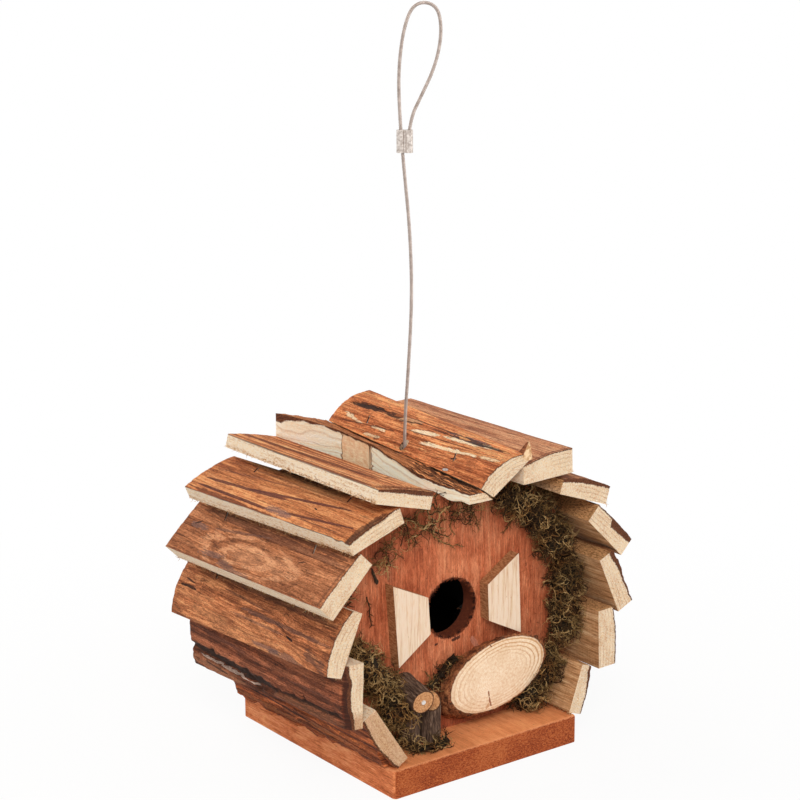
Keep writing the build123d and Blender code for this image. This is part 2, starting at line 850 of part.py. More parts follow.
write("base_board", base)
write("base_brads", Compound(children=[brad.solid() for brad in brads]))
write("front_panel", front_panel)
write("back_panel", back_panel)
for node, solid in slat_solids.items():
    write(node, biggest(solid))
for node, group in staples.items():
    write(node, Compound(children=[staple.solid() for staple in group]))
for node, shutter in shutters.items():
    write(node, shutter)
write("plaque", plaque)
write("perch_twig", perch)
write("perch_nail", nail)
write("post_twig_low", low_post)
write("post_twig_tall", tall_post)
for node, (shares, radius) in front_moss.items():
    write(node, make_moss(shares, radius, trim))
write("moss_foot", make_foot_moss([low_post, tall_post]))
write("ridge_batten", make_batten())
write("stop_washer", make_washer())
write("wire_rope", wire)
write("loop_ferrule", make_ferrule(wire))
write("stop_ferrule", make_stop(wire))
write("hatch_cover", make_cover())
write("hatch_screw", screw)
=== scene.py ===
import math
import random

import bmesh
import bpy
from mathutils import Matrix, Vector, noise
from mathutils.bvhtree import BVHTree


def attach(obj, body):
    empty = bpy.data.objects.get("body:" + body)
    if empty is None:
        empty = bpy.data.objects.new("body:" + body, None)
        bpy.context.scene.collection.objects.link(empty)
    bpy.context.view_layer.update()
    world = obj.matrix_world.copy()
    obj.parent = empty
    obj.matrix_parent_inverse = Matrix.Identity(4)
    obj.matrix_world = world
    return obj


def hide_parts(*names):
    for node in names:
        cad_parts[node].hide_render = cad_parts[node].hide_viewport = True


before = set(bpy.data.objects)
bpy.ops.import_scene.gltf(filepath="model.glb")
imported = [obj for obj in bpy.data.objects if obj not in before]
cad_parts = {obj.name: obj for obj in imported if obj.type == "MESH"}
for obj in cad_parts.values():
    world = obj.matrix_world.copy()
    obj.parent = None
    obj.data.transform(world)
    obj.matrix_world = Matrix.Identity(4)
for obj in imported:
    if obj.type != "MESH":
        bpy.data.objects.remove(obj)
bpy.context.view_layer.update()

scene = bpy.context.scene
mm = 0.001  # the frame is in metres, sizes below are in millimetres times this


# Node trees: a wire is one output of a node, and can be used in sums like a number

class Wire:
    def __init__(self, finish, socket):
        self.finish = finish
        self.socket = socket

    def maths(self, operation, *others):
        return self.finish.work(operation, self, *others)

    def __add__(self, other):
        return self.maths("ADD", other)

    def __sub__(self, other):
        return self.maths("SUBTRACT", other)

    def __rsub__(self, other):
        return self.finish.work("SUBTRACT", other, self)

    def __mul__(self, other):
        return self.maths("MULTIPLY", other)

    def __pow__(self, other):
        return self.maths("POWER", other)

    def __abs__(self):
        return self.maths("ABSOLUTE")

    __radd__ = __add__
    __rmul__ = __mul__


class Finish:
    def __init__(self, name, tree=None):
        if tree is None:
            self.material = bpy.data.materials.new(name)
            self.material.use_nodes = True
            tree = self.material.node_tree
        self.tree = tree
        tree.nodes.clear()

    def node(self, kind, settings, inputs, output=0):
        made = self.tree.nodes.new(kind)
        for name, value in settings.items():
            if name == "stops":
                fillRamp(made.color_ramp, value)
            else:
                setattr(made, name, value)
        for key, value in inputs.items():
            if isinstance(value, Wire):
                self.tree.links.new(value.socket, made.inputs[key])
            else:
                made.inputs[key].default_value = value
        if output is None:
            return None
        return Wire(self, made.outputs[output])

    def work(self, operation, *terms):
        return self.node("ShaderNodeMath", {"operation": operation}, dict(enumerate(terms)))

    def place(self):
        # Object coordinates in millimetres
        spot = self.node("ShaderNodeTexCoord", {}, {}, "Object")
        return self.node("ShaderNodeVectorMath", {"operation": "SCALE"}, {0: spot, "Scale": 1 / mm})

    def grain(self):
        # a piece's own coordinates: across, depth below its bark, along, in millimetres
        return self.node("ShaderNodeAttribute", {"attribute_name": "grain"}, {}, "Vector")

    def number(self, name):
        return self.node("ShaderNodeAttribute", {"attribute_name": name}, {}, "Fac")

    def split(self, vector):
        parts = self.node("ShaderNodeSeparateXYZ", {}, {0: vector}).socket.node
        return [Wire(self, part) for part in parts.outputs]

    def point(self, x, y, z):
        return self.node("ShaderNodeCombineXYZ", {}, {0: x, 1: y, 2: z})

    def stretch(self, vector, shares):
        return self.node("ShaderNodeVectorMath", {"operation": "MULTIPLY"}, {0: vector, 1: shares})

    def noise(self, vector, detail=2.0, roughness=0.5, scale=1.0, distortion=0.0):
        values = {"Vector": vector, "Scale": scale, "Detail": detail, "Roughness": roughness}
        values["Distortion"] = distortion
        return self.node("ShaderNodeTexNoise", {}, values, "Fac")

    def streaky(self, vector, shares, *noiseValues):
        # noise drawn out along the axes whose shares are small
        return self.noise(self.stretch(vector, shares), *noiseValues)

    def step(self, value, low, high):
        # 0 below low, 1 above high, smooth between; low above high turns it round
        values = {"Value": value, "From Min": low, "From Max": high}
        return self.node("ShaderNodeMapRange", {"interpolation_type": "SMOOTHSTEP"}, values)

    def ramp(self, value, places, colours):
        stops = list(zip(places, map(paint, colours)))
        return self.node("ShaderNodeValToRGB", {"stops": stops}, {"Fac": value}, "Color")

    def blend(self, share, first, second):
        first = first if isinstance(first, Wire) else paint(first)
        second = second if isinstance(second, Wire) else paint(second)
        return self.node("ShaderNodeMix", {"data_type": "RGBA"}, {0: share, 6: first, 7: second}, 2)

    def textured(self, colour, value, strength):
        # the same colour with a fine light and dark pattern over it
        settings = {"data_type": "RGBA", "blend_type": "OVERLAY"}
        return self.node("ShaderNodeMix", settings, {0: strength, 6: colour, 7: (value - 0.5) * 4 + 0.5}, 2)

    def spot(self, across, along, ragged, mark):
        # share of a long ragged mark, given as its start, end, half width, colour, strength and raggedness
        start, end, half, _, strength, rough = mark
        middle = [(a + b) / 2 for a, b in zip(start, end)]
        run = Vector((end[0] - start[0], end[1] - start[1]))
        reach = run.length / 2 + half
        run.normalize()
        right = across - middle[0]
        ahead = along - middle[1]
        lengthwise = (right * run.x + ahead * run.y) * (1 / reach)
        sideways = (right * run.y - ahead * run.x) * (1 / half)
        square = lengthwise * lengthwise
        edge = square * square + sideways * sideways + (ragged - 0.5) * rough
        soft = min(0.1 * half, 0.3)
        return self.step(edge, 1 + soft, 1 - soft) * strength

    def marked(self, colour, across, along, ragged, marks):
        for mark in marks:
            colour = self.blend(self.spot(across, along, ragged, mark), colour, mark[3])
        return colour

    def close(self, colour, roughness, height=None, depth=0.0, metal=0.0):
        values = {"Base Color": colour, "Roughness": roughness, "Metallic": metal}
        values["Specular IOR Level"] = 0.5 if metal else 0.2
        if height is not None:
            bump = {"Height": height, "Distance": depth * mm, "Strength": 1.0}
            values["Normal"] = self.node("ShaderNodeBump", {}, bump, "Normal")
        self.output(self.node("ShaderNodeBsdfPrincipled", {}, values))
        return self.material

    def output(self, shader):
        self.node("ShaderNodeOutputMaterial", {}, {"Surface": shader}, None)


def fillRamp(ramp, stops):
    while len(ramp.elements) < len(stops):
        ramp.elements.new(0.5)
    for element, (place, colour) in zip(ramp.elements, stops):
        element.position = place
        element.color = colour


def paint(colour):
    # a colour written as it looks on screen, 0 to 255, as the linear value that a socket takes
    shares = [value / 255 for value in colour]
    linear = [c / 12.92 if c <= 0.04045 else ((c + 0.055) / 1.055) ** 2.4 for c in shares]
    return (*linear, 1.0)


# Camera, lamps, floor and background

cameraView = {
    "place": (-0.63041, -0.83705, 0.43892), "turn": -36.82, "dip": 13.78, "roll": -0.303, "lens": 93.755,
    "sensor": 36.0,
}
lamps = {
    "key_softbox": {"place": (-1.1, -1.5, 1.6), "size": 1.0, "power": 33.0},
    "fill_softbox": {"place": (1.6, -1.1, 0.7), "size": 1.2, "power": 9.0},
    "back_softbox": {"place": (-0.6, 1.5, 1.4), "size": 1.4, "power": 16.0},
}
studio = {
    "aim": (0, 0, 0.09), "lampColour": (255, 246, 236), "floor": 4.0, "drop": 0.05,
    "paper": (240, 240, 240), "white": 0.92, "fade": (0.12, 0.45), "sky": 0.46,
}


def addCamera():
    data = bpy.data.cameras.new("photo_camera")
    data.lens = cameraView["lens"]
    data.sensor_width = cameraView["sensor"]
    camera = bpy.data.objects.new("photo_camera", data)
    turn = Matrix.Rotation(math.radians(cameraView["turn"]), 4, "Z")
    dip = Matrix.Rotation(math.radians(90 - cameraView["dip"]), 4, "X")
    roll = Matrix.Rotation(math.radians(cameraView["roll"]), 4, "Z")
    camera.matrix_world = Matrix.Translation(cameraView["place"]) @ turn @ dip @ roll
    scene.collection.objects.link(camera)
    scene.camera = camera


def addLamps():
    for name, lamp in lamps.items():
        data = bpy.data.lights.new(name, "AREA")
        data.size = lamp["size"]
        data.energy = lamp["power"]
        data.color = paint(studio["lampColour"])[:3]
        softbox = bpy.data.objects.new(name, data)
        place = Vector(lamp["place"])
        turn = (Vector(studio["aim"]) - place).to_track_quat("-Z", "Y").to_matrix().to_4x4()
        softbox.matrix_world = Matrix.Translation(place) @ turn
        scene.collection.objects.link(softbox)


def seenDirectly(finish):
    # 1 for what the camera sees straight or in a shiny or clear surface
    kinds = ("Is Camera Ray", "Is Glossy Ray", "Is Transmission Ray")
    camera, glossy, clear = [finish.node("ShaderNodeLightPath", {}, {}, kind) for kind in kinds]
    return (camera + glossy + clear).maths("MINIMUM", 1.0)


def addSky():
    world = bpy.data.worlds.new("studio")
    world.use_nodes = True
    scene.world = world
    sky = Finish("studio", world.node_tree)
    strength = seenDirectly(sky) * (1 - studio["sky"]) + studio["sky"]
    background = sky.node("ShaderNodeBackground", {}, {"Color": (1, 1, 1, 1), "Strength": strength})
    sky.node("ShaderNodeOutputWorld", {}, {"Surface": background}, None)


def addFloor():
    mesh = bpy.data.meshes.new("floor")
    bm = bmesh.new()
    bmesh.ops.create_grid(bm, x_segments=1, y_segments=1, size=studio["floor"])
    bmesh.ops.translate(bm, verts=bm.verts, vec=(0, 0, -studio["drop"] * mm))
    bm.to_mesh(mesh)
    bm.free()
    floor = bpy.data.objects.new("floor", mesh)
    scene.collection.objects.link(floor)
    paper = Finish("pale_paper")
    spot = paper.node("ShaderNodeTexCoord", {}, {}, "Object")
    away = paper.node("ShaderNodeVectorMath", {"operation": "LENGTH"}, {0: spot}, "Value")
    white = paper.step(away, *studio["fade"]) * (1 - studio["white"]) + studio["white"]  # no edge far off
    matt = paper.node("ShaderNodeBsdfDiffuse", {}, {"Color": paint(studio["paper"])})
    glow = paper.node("ShaderNodeEmission", {}, {"Color": (1, 1, 1, 1), "Strength": 1.0})
    mixed = paper.node("ShaderNodeMixShader", {}, {0: seenDirectly(paper) * white, 1: matt, 2: glow})
    paper.output(mixed)
    mesh.materials.append(paper.material)


scene.view_settings.view_transform = "Standard"
addCamera()
addLamps()
addSky()
addFloor()
print("camera, lamps and floor are in place")


# Shared ways of making pieces

meshCare = {"weld": 0.005, "flatTurn": 0.5, "cut": 0.002, "crispTurn": 50}  # millimetres and degrees


def smoothShare(value, low, high):
    share = min(max((value - low) / (high - low), 0.0), 1.0)
    return share * share * (3 - 2 * share)


def rugged(x, y, z, softness=0.9, octaves=4):
    return noise.fractal(Vector((x, y, z)), softness, 2.1, octaves)


def finishPiece(name, mesh, nodes, materials, body="house"):
    while len(mesh.materials) < len(materials):
        mesh.materials.append(None)
    for i, material in enumerate(materials):
        mesh.materials[i] = material
    piece = bpy.data.objects.new(name, mesh)
    scene.collection.objects.link(piece)
    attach(piece, body)
    if nodes:
        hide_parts(*nodes)
    return piece


def mergedCopy(node):
    # a CAD node's mesh is loose triangles, so a copy of it is merged first
    bm = bmesh.new()
    bm.from_mesh(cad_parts[node].data)
    bmesh.ops.remove_doubles(bm, verts=bm.verts, dist=meshCare["weld"] * mm)
    return bm


def cutCopy(node, planes):
    # a merged copy of a CAD node, cut into rows by planes given as (normal, spacing)
    bm = mergedCopy(node)
    flat = math.radians(meshCare["flatTurn"])
    bmesh.ops.dissolve_limit(bm, angle_limit=flat, verts=bm.verts, edges=bm.edges)
    for normal, spacing in planes:
        normal = Vector(normal).normalized()
        reach = [v.co.dot(normal) for v in bm.verts]
        low, high = min(reach), max(reach)
        count = max(1, round((high - low) / (spacing * mm)))
        for i in range(1, count):
            at = normal * (low + (high - low) * i / count)
            parts = bm.verts[:] + bm.edges[:] + bm.faces[:]
            bmesh.ops.bisect_plane(bm, geom=parts, dist=meshCare["cut"] * mm, plane_co=at, plane_no=normal)
    bmesh.ops.triangulate(bm, faces=[f for f in bm.faces if len(f.verts) > 4])
    return bm


def boxPlanes(deep, wide, high):
    return [((0, 1, 0), deep), ((1, 0, 0), wide), ((0, 0, 1), high)]


def finishSolid(name, bm, nodes, materials):
    # smooth faces with crisp edges where the finish changes, written to a mesh
    for face in bm.faces:
        face.smooth = True
    for edge in bm.edges:
        kinds = {face.material_index for face in edge.link_faces}
        edge.smooth = len(kinds) < 2 and edge.calc_face_angle(0.0) < math.radians(meshCare["crispTurn"])
    mesh = bpy.data.meshes.new(name)
    bm.to_mesh(mesh)
    bm.free()
    finishPiece(name, mesh, nodes, materials)


def strandMesh(name, paths, sides=0, kinds=()):
    # thin round strands along paths of (place, radius in millimetres); kinds picks each one's material
    kinds = kinds or [0] * len(paths)
    curve = bpy.data.curves.new(name, "CURVE")
    curve.dimensions = "3D"
    curve.bevel_depth = mm
    curve.bevel_resolution = sides
    curve.use_fill_caps = True
    for _ in range(max(kinds) + 1):
        curve.materials.append(None)
    for path, kind in zip(paths, kinds):
        spline = curve.splines.new("POLY")
        spline.material_index = kind
        spline.points.add(len(path) - 1)
        for point, (place, radius) in zip(spline.points, path):
            point.co = (*place, 1.0)
            point.radius = radius
    holder = bpy.data.objects.new(name, curve)
    mesh = bpy.data.meshes.new_from_object(holder)
    bpy.data.objects.remove(holder)
    bpy.data.curves.remove(curve)
    return mesh


def grainyFinish(name, tones, noiseValues, shares=(1, 1, 1), places=(0.35, 0.65), roughness=0.85, bump=0.3):
    # one fine pattern that sets both the tone and the relief
    f = Finish(name)
    tone = f.streaky(f.place(), shares, *noiseValues)
    return f.close(f.ramp(tone, places, tones), roughness, tone, bump)


# Hanging wire: the same route as the CAD tube, as a smooth line with seven twisted strands round it

wireRope = {
    "axis": (2.0, 4.5), "loopTurn": -36.8, "radius": 0.9, "strands": 6, "strandShare": 0.335, "lay": 8.5,
    "length": 0.3537, "exitHeight": 140.0, "step": 0.6, "tones": [(150, 136, 128), (206, 194, 188)],
    "route": [
        (0.0, 115.9), (0.0, 163.0), (2.7, 200.0), (4.6, 236.0), (3.6, 270.0), (0.9, 299.0),
        (-1.1, 324.0), (-2.0, 348.0), (0.1, 367.5), (3.6, 379.6), (8.05, 384.1), (14.35, 384.0),
        (18.8, 379.6), (19.8, 367.5), (16.5, 352.5), (9.6, 338.0), (3.7, 326.0), (2.5, 311.5),
    ],
}


def wirePlace(side, height):
    turn = math.radians(wireRope["loopTurn"])
    x = wireRope["axis"][0] + side * math.cos(turn)
    y = wireRope["axis"][1] + side * math.sin(turn)
    return Vector((x, y, height)) * mm


def wireLine():
    # points of the route's NURBS line, evenly spaced
    curve = bpy.data.curves.new("wire_line", "CURVE")
    curve.dimensions = "3D"
    curve.resolution_u = 24
    spline = curve.splines.new("NURBS")
    route = [wirePlace(side, height) for side, height in wireRope["route"]]
    spline.points.add(len(route) - 1)
    for point, place in zip(spline.points, route):
        point.co = (*place, 1.0)
    spline.order_u = 3
    spline.use_endpoint_u = True
    holder = bpy.data.objects.new("wire_line", curve)
    mesh = bpy.data.meshes.new_from_object(holder)
    points = [v.co.copy() for v in mesh.vertices]
    bpy.data.objects.remove(holder)
    step = wireRope["step"] * mm
    line = [points[0]]
    left = step
    for start, end in zip(points, points[1:]):
        span = (end - start).length
        travelled = 0.0
        while span - travelled >= left:
            travelled += left
            line.append(start.lerp(end, travelled / span))
            left = step
        left -= span - travelled
    return line


def twistedStrands(line):
    radius = wireRope["radius"]
    thick = radius * wireRope["strandShare"]
    swing = (radius - thick) * mm
    headings = [(b - a).normalized() for a, b in zip(line, line[1:])]
    headings.append(headings[-1])
    side = headings[0].orthogonal().normalized()
    strands = [[] for _ in range(wireRope["strands"])]
    core = []
    travelled = 0.0
    for i, (place, heading) in enumerate(zip(line, headings)):
        side = (side - heading * side.dot(heading)).normalized()
        across = heading.cross(side)
        if i:
            travelled += (place - line[i - 1]).length / mm
        for k, strand in enumerate(strands):
            angle = math.tau * (travelled / wireRope["lay"] + k / len(strands))
            strand.append((place + (side * math.cos(angle) + across * math.sin(angle)) * swing, thick))
        core.append((place, thick))
    return strands + [core]


def wireFinish():
    f = Finish("weathered_wire")
    spot = f.place()
    cloud = f.noise(spot, 3, scale=0.35)
    fine = f.noise(spot, 2, scale=3.0)
    colour = f.ramp(cloud * 0.6 + fine * 0.4, (0.3, 0.7), wireRope["tones"])
    return f.close(colour, 0.35 + fine * 0.2, fine, 0.05, metal=0.55)


def makeWire():
    line = wireLine()
    mesh = strandMesh("twisted_wire", twistedStrands(line), sides=1)
    for face in mesh.polygons:
        face.use_smooth = True
    rope = finishPiece("twisted_wire", mesh, ["wire_rope"], [wireFinish()], "hanger")


makeWire()
print("hanging wire is twisted")


# Sawn faces of the bark slabs: end grain, long cut edges and inner face

sawnLook = {
    "end": [(230, 196, 158), (250, 228, 198)], "ring": (196, 148, 102), "pore": (138, 94, 60),
    "rim": [(78, 46, 32), (122, 74, 48)], "edge": [(222, 194, 160), (244, 226, 200)],
    "shadedEdgeTones": [(166, 118, 76), (208, 160, 112)], "shadedTanRightOf": (44, 50),
    "endShade": (196, 138, 88), "endShadeLeftOf": (-30, -36), "endShadeBelow": (52, 46),
    "inside": [(146, 102, 66), (188, 142, 100), (216, 178, 138)], "dark": (12, 8, 5),
    "darkBehind": (-31.5, -30.5), "darkBefore": (59, 53),
}


def barkRim(f, depth, rough):
    # share and colour of the thin bark that shows round a sawn face
    share = f.step(depth - f.number("bark") + (rough - 0.5) * 2.2, 0.3, -0.3)
    return share, f.ramp(rough, (0.40, 0.58), sawnLook["rim"])


def endGrainFinish():
    f = Finish("slab_end_grain")
    grain = f.grain()
    _, depth, _ = f.split(grain)
    wander = f.streaky(grain, (0.05, 0.10, 0.02))
    rings = (depth * 0.45 + wander * 1.2).maths("PINGPONG", 0.5) * 2
    shown = f.step(f.streaky(grain, (0.03, 0.05, 0.5)), 0.44, 0.58)
    fleck = f.streaky(grain, (1.3, 1.1, 0.4), 4, 0.8)
    torn = f.streaky(grain, (0.45, 0.9, 0.4), 4, 0.65)
    cloud = f.streaky(grain, (0.10, 0.2, 0.02), 3)
    colour = f.ramp(cloud * 0.3 + fleck * 0.4 + torn * 0.3, (0.40, 0.52), sawnLook["end"])
    x, _, z = f.split(f.place())
    # painted shade: sawn ends low on the left side turn darker tan
    endShade = f.step(x, *sawnLook["endShadeLeftOf"]) * f.step(z, *sawnLook["endShadeBelow"])
    colour = f.blend(endShade * 0.6, colour, sawnLook["endShade"])
    colour = f.blend(f.step(rings + (torn - 0.5) * 1.5, 0.6, 1.0) * shown * 0.45, colour, sawnLook["ring"])
    colour = f.blend(f.step(fleck * 0.6 + torn * 0.4, 0.55, 0.62) * 0.6, colour, sawnLook["pore"])
    colour = f.textured(colour, fleck, 0.35)
    share, rim = barkRim(f, depth, fleck)
    return f.close(f.blend(share, colour, rim), 0.85, fleck + torn * 0.6, 0.9)


def sawnEdgeFinish():
    f = Finish("slab_sawn_edge")
    grain = f.grain()
    _, depth, _ = f.split(grain)
    streak = f.streaky(grain, (0.9, 0.9, 0.03), 3)
    fuzz = f.streaky(grain, (1.4, 1.4, 0.5), 4, 0.8)
    colour = f.ramp(streak * 0.5 + fuzz * 0.5, (0.38, 0.50), sawnLook["edge"])
    x, _, _ = f.split(f.place())
    # the right slabs' sawn edges turn tan, partly their own colour and partly painted shade from the moss
    # above them
    tan = f.ramp(fuzz, (0.40, 0.60), sawnLook["shadedEdgeTones"])
    colour = f.blend(f.step(x, *sawnLook["shadedTanRightOf"]), colour, tan)
    colour = f.blend(f.step(fuzz, 0.57, 0.66) * 0.5, colour, sawnLook["pore"])
    colour = f.textured(colour, fuzz, 0.4)
    share, rim = barkRim(f, depth * 1.6 + 0.3, streak)
    return f.close(f.blend(share * 0.8, colour, rim), 0.85, fuzz, 0.7)


def sawnInsideFinish():
    f = Finish("slab_sawn_inside")
    grain = f.grain()
    streak = f.streaky(grain, (0.35, 0.2, 0.02), 4, 0.6)
    saw = f.streaky(grain, (0.1, 1.0, 1.1), 1)
    fuzz = f.streaky(grain, (1.6, 1.0, 0.10), 4, 0.75)
    tone = streak * 0.55 + fuzz * 0.35 + saw * 0.1
    colour = f.ramp(tone, (0.38, 0.50, 0.62), sawnLook["inside"])
    colour = f.textured(colour, fuzz, 0.25)
    _, y, _ = f.split(f.place())
    shaded = f.step(y, *sawnLook["darkBehind"]) * f.step(y, *sawnLook["darkBefore"])  # inside the house
    return f.close(f.blend(shaded, colour, sawnLook["dark"]), 0.85, tone, 0.8)


endGrain = endGrainFinish()
sawnEdge = sawnEdgeFinish()
sawnInside = sawnInsideFinish()


# Bark slabs

